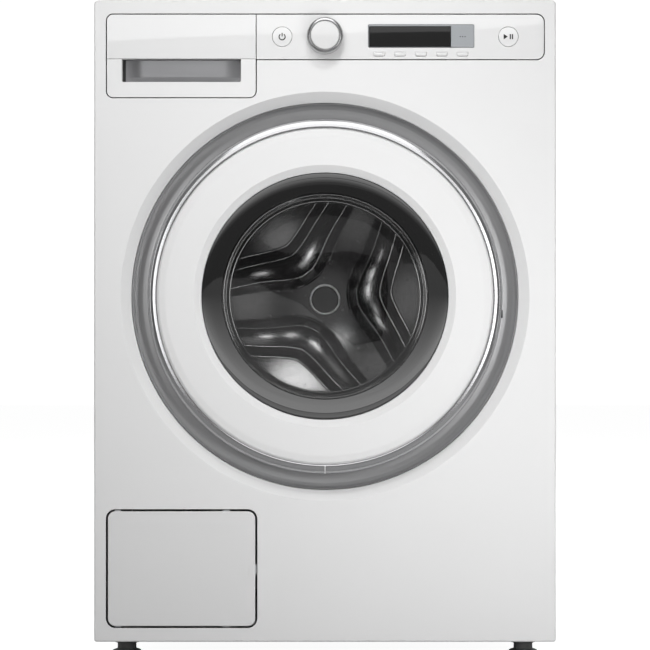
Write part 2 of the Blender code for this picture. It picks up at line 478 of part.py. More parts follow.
# Cradle: two saddles and two rails under the tub, four piston rods, and a hanger for the motor.
arc = lambda r, a0, a1, n: [(r * math.cos(math.radians(a0 + (a1 - a0) * i / n)), DOOR_Z + r * math.sin(math.radians(a0 + (a1 - a0) * i / n))) for i in range(n + 1)]
saddle_outline = arc(261.5, 223.0, 317.0, 12) + arc(274.0, 317.0, 223.0, 12)
tub_cradle = prism("tub_cradle", saddle_outline, STRUT_D[0] - 12, STRUT_D[0] + 12, ZINC)
join(tub_cradle, prism("rear_saddle_shape", saddle_outline, STRUT_D[1] - 12, STRUT_D[1] + 12))
for sign in (-1, 1):
    a, b = sorted((sign * 102.0, sign * 122.0))
    join(tub_cradle, box(f"rail_shape_{sign + 1}", a, b, STRUT_D[0] - 4, STRUT_D[1] + 4, 208.0, 226.0))
    for i, d in enumerate(STRUT_D):
        join(tub_cradle, turned(f"rod_shape_{sign + 1}_{i}", [(0, 70.0), (5.0, 70.0), (5.0, 279.0), (0, 279.0)], segs=10, axis="Z", at=(sign * STRUT_X, d)))
join(tub_cradle, box("motor_hanger_shape", 36.0, 118.0, 335.0, 365.0, 171.0, 212.0))

motor = turned("motor", [(0, 296.0), (50.0, 296.0), (58.0, 304.0), (58.0, 432.0), (50.0, 440.0), (0, 440.0)], ZINC, segs=24, at=(MOTOR_X, MOTOR_Z))

# The drive belt runs round both pulleys: two arcs joined by the outer tangents.
def belt_loop(grow):
    big, small = PULLEY_R + grow, MOTOR_PULLEY_R + grow
    dx, dz = MOTOR_X, MOTOR_Z - DOOR_Z
    dist, base = math.hypot(dx, dz), math.atan2(dz, dx)
    lean = math.acos((big - small) / dist)
    out = []
    for i in range(29):   # the long way round the drum pulley
        t = base + lean + (2 * math.pi - 2 * lean) * i / 28
        out.append((big * math.cos(t), DOOR_Z + big * math.sin(t)))
    for i in range(9):    # round the motor pulley
        t = base - lean + 2 * lean * i / 8
        out.append((MOTOR_X + small * math.cos(t), MOTOR_Z + small * math.sin(t)))
    return out


outer, inner = belt_loop(4.0), belt_loop(0.9)
bm = bmesh.new()
rows = [[bm.verts.new(Vector((x * MM, Y(d), z * MM))) for x, z in loop] for loop, d in ((outer, BELT_D0), (outer, BELT_D1), (inner, BELT_D1), (inner, BELT_D0))]
for k in range(4):
    a, b = rows[k], rows[(k + 1) % 4]
    for i in range(len(a)):
        j = (i + 1) % len(a)
        bm.faces.new((a[i], a[j], b[j], b[i]))
drive_belt = to_object("drive_belt", bm, BELT)

weight_outline = arc(262.0, 55.0, 102.0, 8) + [(-55.0, 792.0), (165.0, 792.0)]
counterweight = prism("counterweight", weight_outline, 150.0, 350.0, CONCRETE)
pivot("pivot_tub", [tub_front, tub_rear, tub_cradle, motor, drive_belt, counterweight], (0, Y(260), DOOR_Z * MM))

for i, corner in enumerate(("front_left", "front_right", "rear_left", "rear_right")):
    at = ((-STRUT_X, STRUT_X)[i % 2], STRUT_D[i // 2])
    turned(f"damper_body_{corner}", [
        (0, 25.6), (20.0, 25.6), (20.0, 30.0), (12.5, 33.0), (12.5, 152.0), (7.2, 152.0), (7.2, 52.0), (0, 52.0),
    ], GREY, segs=10, axis="Z", at=at)


def coil(name, x, d, z0, z1, radius, wire, turns, steps=7, sides=4):
    """A coil spring along z: a round wire swept along a helix, closed at both ends."""
    centres = []
    total = turns * steps
    for i in range(total + 1):
        t = 2 * math.pi * i / steps
        centres.append(Vector((x + radius * math.cos(t), d + radius * math.sin(t), z0 + wire + (z1 - z0 - 2 * wire) * i / total)))
    rings = []
    for i, c in enumerate(centres):
        ahead = (centres[min(i + 1, total)] - centres[max(i - 1, 0)]).normalized()
        out = Vector((c.x - x, c.y - d, 0)).normalized()
        up = ahead.cross(out).normalized()
        rings.append([tuple(c + out * wire * math.cos(2 * math.pi * s / sides) + up * wire * math.sin(2 * math.pi * s / sides)) for s in range(sides)])
    return loft(name, rings, STEEL, smooth=80)


coil("suspension_spring_left", -SPRING_X, SPRING_D, SPRING_Z0, SPRING_Z1, 13.0, 1.9, 6)
coil("suspension_spring_right", SPRING_X, SPRING_D, SPRING_Z0, SPRING_Z1, 13.0, 1.9, 6)

# ---------------------------------------------------------------- drum
drum_shell = turned("drum_shell", [
    (160.5, 71.0), (165.0, 74.0), (232.0, 84.0), (DRUM_R, 92.0), (DRUM_R, 404.0), (DRUM_R - 1.0, 404.0), (DRUM_R - 1.0, 92.6), (231.5, 85.3), (165.0, 75.4), (160.5, 72.6),
], STEEL)
for k in range(3):
    turn = math.radians(60 + 120 * k)
    rib = [(-24.0, 239.0), (24.0, 239.0), (13.0, 201.0), (8.0, 197.0), (-8.0, 197.0), (-13.0, 201.0)]
    outline = [(u * math.cos(turn) - v * math.sin(turn), DOOR_Z + u * math.sin(turn) + v * math.cos(turn)) for u, v in rib]
    join(drum_shell, prism(f"lifter_shape_{k}", outline, 130.0, 380.0))

drum_back = turned("drum_back", [
    (0, 385.0), (22.0, 386.0), (22.0, DRUM_BACK_D), (225.0, DRUM_BACK_D), (237.2, 396.0), (237.2, 401.0), (224.0, 394.2), (42.0, 394.2), (38.0, 420.0),
    (15.0, 420.0), (15.0, 514.0), (0, 514.0),
], STEEL)


def vee(half, inset=0.0, steps=4):
    """Outline of one pressed vee: two arms that leave the hub side at an elbow and run out to the rim."""
    elbow, spread, reach = 66.0, math.radians(66.0), 168.0 - inset
    pts = []
    for side in (1, -1):
        arm = Vector((math.cos(spread), side * math.sin(spread)))
        normal = Vector((-arm.y, arm.x)) * side      # towards the hub side of the arm
        end = Vector((elbow, 0)) + arm * reach
        bend = 22.0 / math.tan(math.radians(57.0))
        near = Vector((elbow, 0)) + arm * bend * 1.6
        pts.append((end, near, normal, side))
    left, right = pts
    hub_side, rim_side = [], []
    corner = Vector((elbow, 0))
    for s in range(steps + 1):
        t = s / steps
        mid = (1 - t) ** 2 * left[1] + 2 * t * (1 - t) * corner + t * t * right[1]
        n = ((1 - t) * left[2] + t * right[2]).normalized()
        hub_side.append(mid + n * half)
        rim_side.append(mid - n * half)
    hub = [left[0] + left[2] * half] + hub_side + [right[0] + right[2] * half]
    rim = [right[0] - right[2] * half] + rim_side[::-1] + [left[0] - left[2] * half]
    return hub + rim


for k in range(3):
    turn = math.radians(4 + 120 * k)
    place = lambda p, d: (p.x * math.cos(turn) - p.y * math.sin(turn), d, DOOR_Z + p.x * math.sin(turn) + p.y * math.cos(turn))
    rings = [[place(p, d) for p in vee(half, inset)] for half, inset, d in ((31.0, 0.0, 393.4), (19.0, 12.0, 372.5), (13.0, 16.0, 370.0))]
    join(drum_back, loft(f"vee_shape_{k}", rings))
    rings = [[place(p, d) for p in vee(half, inset)] for half, inset, d in ((29.0, 2.0, 396.0), (16.0, 15.0, 374.5))]
    cut(drum_back, loft(f"vee_hollow_cutter_{k}", rings))

drum_pulley = turned("drum_pulley", [
    (15.4, 488.0), (131.0, 488.0), (131.0, 484.5), (PULLEY_R, 484.5), (PULLEY_R, 499.5), (131.0, 499.5), (131.0, 494.0), (15.4, 494.0),
], ZINC, segs=30)
for k in range(5):
    t = math.radians(90 + 72 * k)
    cut(drum_pulley, turned(f"pulley_hole_cutter_{k}", [(0, 480), (31.0, 480), (31.0, 500), (0, 500)], segs=10, at=(80.0 * math.cos(t), DOOR_Z + 80.0 * math.sin(t))))
pivot("pivot_drum", [drum_shell, drum_back, drum_pulley], (0, Y(240), DOOR_Z * MM))

motor_pulley = turned("motor_pulley", [(0, 440.5), (7.0, 440.5), (7.0, 484.0), (13.5, 484.0), (13.5, 485.4), (MOTOR_PULLEY_R, 485.4), (MOTOR_PULLEY_R, 498.6), (13.5, 498.6), (13.5, 500.0), (0, 500.0)],
                      STEEL, segs=16, at=(MOTOR_X, MOTOR_Z))
pivot("pivot_motor_pulley", [motor_pulley], (MOTOR_X * MM, Y(492), MOTOR_Z * MM))
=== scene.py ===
import json
import math

import bmesh
import bpy
from mathutils import Matrix, Vector

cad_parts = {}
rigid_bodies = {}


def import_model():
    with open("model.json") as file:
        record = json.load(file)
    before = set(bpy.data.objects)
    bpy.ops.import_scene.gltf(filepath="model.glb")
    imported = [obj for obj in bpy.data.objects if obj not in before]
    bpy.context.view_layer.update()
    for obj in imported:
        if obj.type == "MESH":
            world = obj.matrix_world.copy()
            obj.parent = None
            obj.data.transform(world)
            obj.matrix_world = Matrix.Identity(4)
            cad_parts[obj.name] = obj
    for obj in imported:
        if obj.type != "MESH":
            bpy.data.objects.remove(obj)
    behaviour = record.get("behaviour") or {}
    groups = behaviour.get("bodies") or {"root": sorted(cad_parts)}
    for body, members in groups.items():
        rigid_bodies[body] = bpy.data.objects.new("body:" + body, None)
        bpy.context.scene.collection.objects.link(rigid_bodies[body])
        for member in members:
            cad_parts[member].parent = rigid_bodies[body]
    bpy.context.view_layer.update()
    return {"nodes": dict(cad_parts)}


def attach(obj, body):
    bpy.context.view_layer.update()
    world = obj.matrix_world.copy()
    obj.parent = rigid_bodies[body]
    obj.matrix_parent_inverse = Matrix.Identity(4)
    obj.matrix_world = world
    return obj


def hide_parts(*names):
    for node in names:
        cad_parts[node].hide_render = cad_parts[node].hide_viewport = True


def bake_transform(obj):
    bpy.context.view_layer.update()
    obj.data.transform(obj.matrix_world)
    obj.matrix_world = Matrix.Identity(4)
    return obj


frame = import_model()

NODES = frame["nodes"]
scene = bpy.context.scene
MM = 0.001

# Dimensions in millimetres, as in the solid model. d is the depth behind the flat front face.
Y_FRONT = -282.5
HALF_W, HEIGHT, FOOT_H, CAB_D, RETURN_D = 297.5, 850.0, 23.2, 570.0, 18.0
DOOR_Z = 468.5
HINGE_X, HINGE_D = -202.0, -5.0
CONTROL_Z, POWER_X, START_X = 802.7, -55.2, 236.2
KEY_X = (69.8, 96.6, 123.5, 150.4, 177.2)
DRAWER = (-281.0, -89.2, 724.8, 831.3)
PANEL = (-88.2, 281.9, 773.8, 831.3)
GRIP = (-261.8, -108.4, 744.5, 774.3)
FLAP = (-279.9, -89.6, 43.5, 191.7)
FOOT_X, FOOT_D = 260.0, (58.0, 525.0)


def P(x, d, z):
    return Vector((x * MM, (d + Y_FRONT) * MM, z * MM))


# =========================================================================== materials
def nodes_of(name):
    m = bpy.data.materials.new(name)
    m.use_nodes = True
    nt = m.node_tree
    return m, nt, nt.nodes["Principled BSDF"], nt.nodes["Material Output"]


def noise(nt, coord, scale, detail=2.0, rough=0.5, stretch=None):
    n = nt.nodes.new("ShaderNodeTexNoise")
    n.inputs["Scale"].default_value = scale
    n.inputs["Detail"].default_value = detail
    n.inputs["Roughness"].default_value = rough
    if stretch:
        mp = nt.nodes.new("ShaderNodeMapping")
        mp.inputs["Scale"].default_value = stretch
        nt.links.new(coord, mp.inputs["Vector"])
        coord = mp.outputs["Vector"]
    nt.links.new(coord, n.inputs["Vector"])
    return n.outputs["Fac"]


def remap(nt, value, lo, hi, from_lo=0.3, from_hi=0.7):
    n = nt.nodes.new("ShaderNodeMapRange")
    n.inputs["From Min"].default_value = from_lo
    n.inputs["From Max"].default_value = from_hi
    n.inputs["To Min"].default_value = lo
    n.inputs["To Max"].default_value = hi
    nt.links.new(value, n.inputs["Value"])
    return n.outputs["Result"]


def blend_colours(nt, fac, a, b):
    n = nt.nodes.new("ShaderNodeMix")
    n.data_type = "RGBA"
    n.inputs[6].default_value = (*a, 1)
    n.inputs[7].default_value = (*b, 1)
    nt.links.new(fac, n.inputs[0])
    return n.outputs[2]


def math_node(nt, op, a, b=None):
    n = nt.nodes.new("ShaderNodeMath")
    n.operation = op
    for i, v in enumerate((a, b)):
        if v is None:
            continue
        if isinstance(v, (int, float)):
            n.inputs[i].default_value = v
        else:
            nt.links.new(v, n.inputs[i])
    return n.outputs[0]


def bump(nt, bsdf, height, distance, strength=1.0, into=None):
    n = nt.nodes.new("ShaderNodeBump")
    n.inputs["Strength"].default_value = strength
    n.inputs["Distance"].default_value = distance
    nt.links.new(height, n.inputs["Height"])
    if into is not None:
        nt.links.new(into, n.inputs["Normal"])
    nt.links.new(n.outputs["Normal"], bsdf.inputs["Normal"])
    return n.outputs["Normal"]


def surface(name, colour, rough, metal=0.0, vary=0.02, rough_vary=0.05, grain=220.0, relief=0.00002, patch=9.0,
            coat=0.0, stretch=None, ior=None, spec=None):
    """A finished surface: slow colour drift, uneven roughness and a fine relief, all in the piece's own coordinates."""
    m, nt, b, _ = nodes_of(name)
    at = nt.nodes.new("ShaderNodeTexCoord").outputs["Object"]
    drift = noise(nt, at, patch, 3.0, 0.6)
    nt.links.new(blend_colours(nt, remap(nt, drift, 0, 1), tuple(c * (1 - vary) for c in colour),
                               tuple(min(1.0, c * (1 + vary)) for c in colour)), b.inputs["Base Color"])
    wear = noise(nt, at, grain * 0.35, 4.0, 0.6, stretch)
    nt.links.new(remap(nt, wear, max(0.008, rough - rough_vary), min(1.0, rough + rough_vary)), b.inputs["Roughness"])
    b.inputs["Metallic"].default_value = metal
    if coat:
        b.inputs["Coat Weight"].default_value = coat
        b.inputs["Coat Roughness"].default_value = 0.03
    if ior:
        b.inputs["IOR"].default_value = ior
    if spec is not None:
        b.inputs["Specular IOR Level"].default_value = spec
    if relief:
        bump(nt, b, noise(nt, at, grain, 3.0, 0.55, stretch), relief)
    return m


def polar(nt, at, centre=(0.0, DOOR_Z * MM)):
    """Radius and angle round the door's axis from object coordinates."""
    sep = nt.nodes.new("ShaderNodeSeparateXYZ")
    nt.links.new(at, sep.inputs[0])
    x = math_node(nt, "SUBTRACT", sep.outputs["X"], centre[0])
    z = math_node(nt, "SUBTRACT", sep.outputs["Z"], centre[1])
    r = math_node(nt, "SQRT", math_node(nt, "ADD", math_node(nt, "MULTIPLY", x, x), math_node(nt, "MULTIPLY", z, z)))
    angle = math_node(nt, "ARCTAN2", z, x)
    return r, angle, sep.outputs["Y"]


def spun_metal(name, colour, rough, lines=1400.0, relief=0.000004, vary=0.03, rough_vary=0.05, dots=False, metal=1.0):
    """Metal finished on a lathe: fine rings round the door's axis, over a slow drift."""
    m, nt, b, _ = nodes_of(name)
    at = nt.nodes.new("ShaderNodeTexCoord").outputs["Object"]
    r, angle, y = polar(nt, at)
    comb = nt.nodes.new("ShaderNodeCombineXYZ")
    nt.links.new(math_node(nt, "MULTIPLY", r, lines), comb.inputs[0])
    nt.links.new(math_node(nt, "MULTIPLY", angle, 1.2), comb.inputs[1])
    nt.links.new(math_node(nt, "MULTIPLY", y, lines), comb.inputs[2])
    rings = noise(nt, comb.outputs[0], 1.0, 3.0, 0.6)
    drift = noise(nt, at, 7.0, 3.0, 0.6)
    tone = blend_colours(nt, remap(nt, drift, 0, 1), tuple(c * (1 - vary) for c in colour), tuple(min(1, c * (1 + vary)) for c in colour))
    rough_out = remap(nt, rings, rough - rough_vary, rough + rough_vary)
    b.inputs["Metallic"].default_value = metal
    height = rings
    if dots:
        # rows of small punched holes round the drum wall, coloured near-black: painted shade of the dark space behind
        # each hole; the bump shapes their rims
        across = math_node(nt, "MULTIPLY", angle, 240.0 / 12.0)
        along = math_node(nt, "MULTIPLY", y, 1000.0 / 12.0)
        row = math_node(nt, "FLOOR", along)
        shifted = math_node(nt, "ADD", across, math_node(nt, "MULTIPLY", row, 0.5))
        fx = math_node(nt, "SUBTRACT", math_node(nt, "FRACT", shifted), 0.5)
        fy = math_node(nt, "SUBTRACT", math_node(nt, "FRACT", along), 0.5)
        dist = math_node(nt, "SQRT", math_node(nt, "ADD", math_node(nt, "MULTIPLY", fx, fx), math_node(nt, "MULTIPLY", fy, fy)))
        solid = remap(nt, dist, 0.0, 1.0, 0.14, 0.17)
        mix = nt.nodes.new("ShaderNodeMix")
        mix.data_type = "RGBA"
        mix.inputs[6].default_value = (0.01, 0.01, 0.01, 1)
        nt.links.new(tone, mix.inputs[7])
        nt.links.new(solid, mix.inputs[0])
        tone = mix.outputs[2]
        height = math_node(nt, "ADD", math_node(nt, "MULTIPLY", rings, 0.02), remap(nt, dist, 0.0, 1.0, 0.12, 0.3))
        relief = 0.0004
    nt.links.new(tone, b.inputs["Base Color"])
    nt.links.new(rough_out, b.inputs["Roughness"])
    bump(nt, b, height, relief)
    return m


def clear_glass(name, tint, reflect=1.5, rough=0.012):
    """Thin clear glass: a tinted see-through share, and a mirror share that grows at a glancing angle."""
    m, nt, b, out = nodes_of(name)
    at = nt.nodes.new("ShaderNodeTexCoord").outputs["Object"]
    b.inputs["Base Color"].default_value = (0.0, 0.0, 0.0, 1)
    b.inputs["Metallic"].default_value = 0.0
    b.inputs["IOR"].default_value = 1.5
    nt.links.new(remap(nt, noise(nt, at, 40.0, 2.0), rough, rough + 0.008), b.inputs["Roughness"])
    g = nt.nodes.new("ShaderNodeBsdfGlossy")
    g.inputs["Color"].default_value = (1, 1, 1, 1)
    nt.links.new(remap(nt, noise(nt, at, 40.0, 2.0), rough, rough + 0.008), g.inputs["Roughness"])
    t = nt.nodes.new("ShaderNodeBsdfTransparent")
    t.inputs["Color"].default_value = (*tint, 1)
    f = nt.nodes.new("ShaderNodeFresnel")
    f.inputs["IOR"].default_value = reflect
    mix = nt.nodes.new("ShaderNodeMixShader")
    nt.links.new(f.outputs[0], mix.inputs[0])
    nt.links.new(t.outputs[0], mix.inputs[1])
    nt.links.new(g.outputs[0], mix.inputs[2])
    nt.links.new(mix.outputs[0], out.inputs["Surface"])
    nt.nodes.remove(b)
    return m


ENAMEL = surface("white_enamel", (0.84, 0.84, 0.84), 0.42, 0.0, 0.006, 0.04, 420.0, 0.000012, 5.0)
PANEL_WHITE = surface("gloss_white_plastic", (0.84, 0.84, 0.84), 0.016, 0.0, 0.004, 0.006, 120.0, 0.0, 6.0, ior=1.85)
KNOB_WHITE = surface("knob_face_plastic", (0.76, 0.76, 0.76), 0.02, 0.0, 0.004, 0.006, 120.0, 0.0, 6.0, ior=1.7)
COVER_WHITE = surface("door_cover_plastic", (0.83, 0.83, 0.83), 0.35, 0.0, 0.004, 0.04, 300.0, 0.000006, 6.0)
FLAP_WHITE = surface("flap_plastic", (0.80, 0.80, 0.80), 0.45, 0.0, 0.006, 0.05, 500.0, 0.000015, 6.0)
KEY_WHITE = surface("key_plastic", (0.84, 0.84, 0.84), 0.22, 0.0, 0.01, 0.04, 500.0, 0.00001, 40.0)
SATIN = spun_metal("satin_ring_metal", (0.36, 0.36, 0.365), 0.50, 1200.0, 0.000002, 0.02, 0.03, metal=0.9)
CHROME = spun_metal("bright_trim", (0.52, 0.52, 0.53), 0.18, 900.0, 0.0000006, 0.01, 0.02, metal=0.95)
KNOB_METAL = surface("knob_metal", (0.50, 0.50, 0.505), 0.22, 1.0, 0.02, 0.04, 700.0, 0.000002, 30.0)
JOINT_METAL = surface("joint_cover_metal", (0.86, 0.86, 0.86), 0.4, 0.3, 0.01, 0.04, 700.0, 0.000002, 30.0)
SILVER = surface("silver_paint", (0.33, 0.345, 0.36), 0.42, 0.35, 0.02, 0.05, 900.0, 0.000008, 30.0)
BLACK_GLASS = surface("display_glass", (0.016, 0.016, 0.016), 0.016, 0.0, 0.05, 0.006, 60.0, 0.0, 8.0)
BLACK_BAND = surface("window_black_band", (0.004, 0.004, 0.004), 0.018, 0.0, 0.05, 0.006, 60.0, 0.0, 8.0, ior=2.0)
WINDOW = clear_glass("window_glass", (0.64, 0.64, 0.64), 1.42)
BOWL = clear_glass("bowl_glass", (0.885, 0.885, 0.885), 1.18)
BEAD = surface("bowl_bead_gloss", (0.42, 0.42, 0.42), 0.14, 1.0, 0.05, 0.03, 60.0, 0.0, 8.0)
DRUM_WALL = spun_metal("drum_wall_steel", (0.5, 0.5, 0.5), 0.22, 500.0, 0.000004, 0.03, 0.05, dots=True)
DRUM_BACK = surface("drum_back_steel", (0.38, 0.38, 0.38), 0.19, 1.0, 0.03, 0.02, 260.0, 0.000001, 12.0)
DRUM_PLATE = surface("drum_plate_steel", (0.38, 0.38, 0.38), 0.25, 1.0, 0.03, 0.03, 260.0, 0.000001, 12.0)
HUB = surface("hub_cap_steel", (0.40, 0.40, 0.40), 0.35, 1.0, 0.03, 0.04, 500.0, 0.000006, 40.0)
HANDLE = surface("handle_plate_grey", (0.34, 0.34, 0.35), 0.34, 0.75, 0.03, 0.05, 600.0, 0.00001, 20.0, stretch=(0.04, 1.0, 1.0))
INK = surface("printed_ink", (0.03, 0.03, 0.03), 0.4, 0.0, 0.02, 0.04, 800.0, 0.0, 60.0)
PALE_INK = surface("pale_ink", (0.35, 0.36, 0.37), 0.4, 0.0, 0.02, 0.04, 800.0, 0.0, 60.0)
# near-black used as painted shade in gaps, in the finger recess and in the release notch
GAP_PAINTED_SHADE = surface("gap_painted_shade", (0.03, 0.03, 0.03), 0.6, 0.0, 0.05, 0.05, 200.0, 0.00001, 20.0)
GREY_PLASTIC = surface("grey_plastic", (0.46, 0.47, 0.48), 0.5, 0.0, 0.03, 0.08, 350.0, 0.00003, 12.0)
LIGHT_PLASTIC = surface("light_grey_plastic", (0.62, 0.63, 0.64), 0.45, 0.0, 0.02, 0.08, 350.0, 0.00003, 12.0)
DARK_PLASTIC = surface("dark_plastic", (0.045, 0.045, 0.05), 0.5, 0.0, 0.08, 0.08, 350.0, 0.00003, 12.0)
FOOT_PLASTIC = surface("foot_plastic", (0.16, 0.16, 0.16), 0.42, 0.0, 0.08, 0.08, 350.0, 0.00004, 30.0)
RUBBER = surface("seal_rubber", (0.05, 0.05, 0.052), 0.7, 0.0, 0.08, 0.08, 420.0, 0.00004, 14.0)
ZINC = surface("zinc_plate", (0.52, 0.53, 0.55), 0.42, 1.0, 0.10, 0.12, 130.0, 0.00002, 26.0)
GALVANISED = surface("galvanised_sheet", (0.60, 0.61, 0.62), 0.46, 0.6, 0.07, 0.08, 150.0, 0.00003, 60.0)
STEEL = surface("plain_steel", (0.48, 0.48, 0.49), 0.3, 1.0, 0.05, 0.08, 260.0, 0.00001, 20.0)
CONCRETE = surface("cast_concrete", (0.36, 0.35, 0.33), 0.9, 0.0, 0.16, 0.08, 90.0, 0.0006, 40.0)
BOARD = surface("circuit_board", (0.02, 0.16, 0.06), 0.5, 0.0, 0.2, 0.1, 300.0, 0.00005, 60.0)
CAST_ALU = surface("cast_aluminium", (0.55, 0.56, 0.57), 0.48, 0.9, 0.06, 0.08, 260.0, 0.00008, 30.0)
WORKTOP = surface("worktop_laminate", (0.84, 0.84, 0.84), 0.4, 0.0, 0.006, 0.05, 600.0, 0.00002, 6.0)


# =========================================================================== mesh helpers
def finish_mesh(name, bm, mat, body, replaces=(), smooth=32, flat=False):
    bmesh.ops.remove_doubles(bm, verts=bm.verts, dist=2e-7)
    bmesh.ops.recalc_face_normals(bm, faces=bm.faces)
    mesh = bpy.data.meshes.new(name)
    bm.to_mesh(mesh)
    bm.free()
    mesh.shade_smooth()
    if flat:
        mesh.shade_flat()
    else:
        mesh.set_sharp_from_angle(angle=math.radians(smooth))
    obj = bpy.data.objects.new(name, mesh)
    scene.collection.objects.link(obj)
    if mat:
        mesh.materials.append(mat)
    if body:
        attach(obj, body)
    if replaces:
        names = (replaces,) if isinstance(replaces, str) else replaces
        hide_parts(*names)
    return obj


def use_slot(obj):
    return obj


def fillet(points, closed=True, steps=5, default=0.0, holding=True):
    """Rounds the corners of a profile of (a, b) or (a, b, radius)."""
    out = []
    n = len(points)
    for i, p in enumerate(points):
        r = p[2] if len(p) > 2 else default
        here = Vector((p[0], p[1]))
        if r <= 0 or (not closed and i in (0, n - 1)):
            out.append((here.x, here.y))
            continue
        before, after = Vector(points[i - 1][:2]), Vector(points[(i + 1) % n][:2])
        u, v = before - here, after - here
        lu, lv = u.length, v.length
        if lu < 1e-6 or lv < 1e-6:
            out.append((here.x, here.y))
            continue
        u, v = u / lu, v / lv
        half = math.acos(max(-1, min(1, u.dot(v)))) / 2
        if half < 0.02 or half > math.pi / 2 - 0.01:
            out.append((here.x, here.y))
            continue
        t = min(r / math.tan(half), lu * 0.49, lv * 0.49)
        radius = t * math.tan(half)
        centre = here + (u + v).normalized() * (radius / math.sin(half))
        a0 = (here + u * t) - centre
        a1 = (here + v * t) - centre
        ang0, ang1 = math.atan2(a0.y, a0.x), math.atan2(a1.y, a1.x)
        delta = (ang1 - ang0 + math.pi) % (2 * math.pi) - math.pi
        hold = min(0.35 * t + 0.05, (lu - 2 * t) * 0.2 if lu > 2.6 * t else 0, 1.2)
        if holding and hold > 0.02:
            q = here + u * (t + hold)
            out.append((q.x, q.y))
        for s in range(steps + 1):
            t2 = ang0 + delta * s / steps
            out.append((centre.x + radius * math.cos(t2), centre.y + radius * math.sin(t2)))
        hold = min(0.35 * t + 0.05, (lv - 2 * t) * 0.2 if lv > 2.6 * t else 0, 1.2)
        if holding and hold > 0.02:
            q = here + v * (t + hold)
            out.append((q.x, q.y))
    return out


def rows_to_faces(bm, rows, around=True, along=False):
    n = len(rows[0])
    made = list(zip(rows, rows[1:]))
    if along:
        made.append((rows[-1], rows[0]))
    for a, b in made:
        for i in range(n if around else n - 1):
            j = (i + 1) % n
            quad = [a[i], a[j], b[j], b[i]]
            if len({id(v) for v in quad}) == 4:
                try:
                    bm.faces.new(quad)
                except ValueError:
                    pass


def lathe(name, profile, mat, body, replaces=(), n=160, axis="Y", at=(0.0, DOOR_Z), smooth=32, closed=True):
    """Turned piece. Profile points are (radius, along) in mm; along is d for axis Y at (x, z), or z for axis Z at (x, d)."""
    bm = bmesh.new()
    rows = []
    for r, s in profile:
        if r <= 1e-6:
            c = P(at[0], s, at[1]) if axis == "Y" else P(at[0], at[1], s)
            v = bm.verts.new(c)
            rows.append([v] * n)
            continue
        row = []
        for i in range(n):
            t = 2 * math.pi * i / n
            if axis == "Y":
                row.append(bm.verts.new(P(at[0] + r * math.cos(t), s, at[1] + r * math.sin(t))))
            else:
                row.append(bm.verts.new(P(at[0] + r * math.cos(t), at[1] + r * math.sin(t), s)))
        rows.append(row)
    pairs = list(zip(rows, rows[1:]))
    if closed and not (profile[0][0] <= 1e-6 and profile[-1][0] <= 1e-6):
        pairs.append((rows[-1], rows[0]))
    for a, b in pairs:
        for i in range(n):
            j = (i + 1) % n
            quad = []
            for v in (a[i], a[j], b[j], b[i]):
                if v not in quad:
                    quad.append(v)
            if len(quad) >= 3:
                bm.faces.new(quad)
    return finish_mesh(name, bm, mat, body, replaces, smooth)


def outline(points, steps=8):
    """f(o): a rounded polygon, anticlockwise, grown by o. Points are (x, z, radius)."""
    def f(o):
        n = len(points)
        grown = []
        for i, (x, z, r) in enumerate(points):
            px, pz, _ = points[i - 1]
            nx, nz, _ = points[(i + 1) % n]
            e0 = Vector((x - px, z - pz)).normalized()
            e1 = Vector((nx - x, nz - z)).normalized()
            n0, n1 = Vector((e0.y, -e0.x)), Vector((e1.y, -e1.x))
            m = (n0 + n1) / (1 + n0.dot(n1)) * o
            convex = e0.x * e1.y - e0.y * e1.x > 0
            rr = max(0.04, r + o if convex else r - o)
            grown.append((x + m.x, z + m.y, rr))
        return fillet(grown, True, steps, holding=False)
    return f


def rect(x0, x1, z0, z1, radii, steps=8):
    a, b, c, e = radii if isinstance(radii, (tuple, list)) else (radii,) * 4
    return outline([(x0, z0, a), (x1, z0, b), (x1, z1, c), (x0, z1, e)], steps)


def circle(cx, cz, r, n=160):
    return lambda o: [(cx + (r + o) * math.cos(2 * math.pi * i / n), cz + (r + o) * math.sin(2 * math.pi * i / n)) for i in range(n)]


def loop_edges(bm, row):
    out = []
    for i, v in enumerate(row):
        w = row[(i + 1) % len(row)]
        e = bm.edges.get((v, w)) or bm.edges.new((v, w))
        out.append(e)
    return out


def plate(name, outer, holes, mat, body, replaces=(), smooth=32, plane="XZ", at_end=True):
    """A flat piece with shaped edges. Each boundary is (f, [(grow, d), ...]), from the front face to the back face."""
    bm = bmesh.new()
    put = (lambda x, z, d: P(x, d, z)) if plane == "XZ" else (lambda x, y, z: P(x, y, z))
    first, last = [], []
    for k, (f, profile) in enumerate([outer] + list(holes)):
        # a flat row just inside the rounded edge keeps the face's normal straight
        profile = [(profile[0][0] + (0.35 if k else -0.35), profile[0][1])] + list(profile)
        rows = [[bm.verts.new(put(x, z, d)) for x, z in f(o)] for o, d in profile]
        rows_to_faces(bm, rows)
        first += loop_edges(bm, rows[0])
        last += loop_edges(bm, rows[-1])
    bmesh.ops.triangle_fill(bm, edges=first, use_beauty=True, use_dissolve=False)
    if at_end:
        bmesh.ops.triangle_fill(bm, edges=last, use_beauty=True, use_dissolve=False)
    return finish_mesh(name, bm, mat, body, replaces, smooth)


def edge(r, thick, front=0.0, back=0.0, steps=4, sign=-1):
    """Profile of a plate's outer edge: rounded by r at the front and back at the back. For a hole, sign is +1."""
    out = [(sign * r * (1 - math.sin(math.pi / 2 * i / steps)), front + r * (1 - math.cos(math.pi / 2 * i / steps))) for i in range(steps + 1)]
    if back > 0:
        out += [(sign * back * (1 - math.cos(math.pi / 2 * i / steps)), front + thick - back * (1 - math.sin(math.pi / 2 * i / steps))) for i in range(steps + 1)]
    else:
        out.append((0.0, front + thick))
    return out


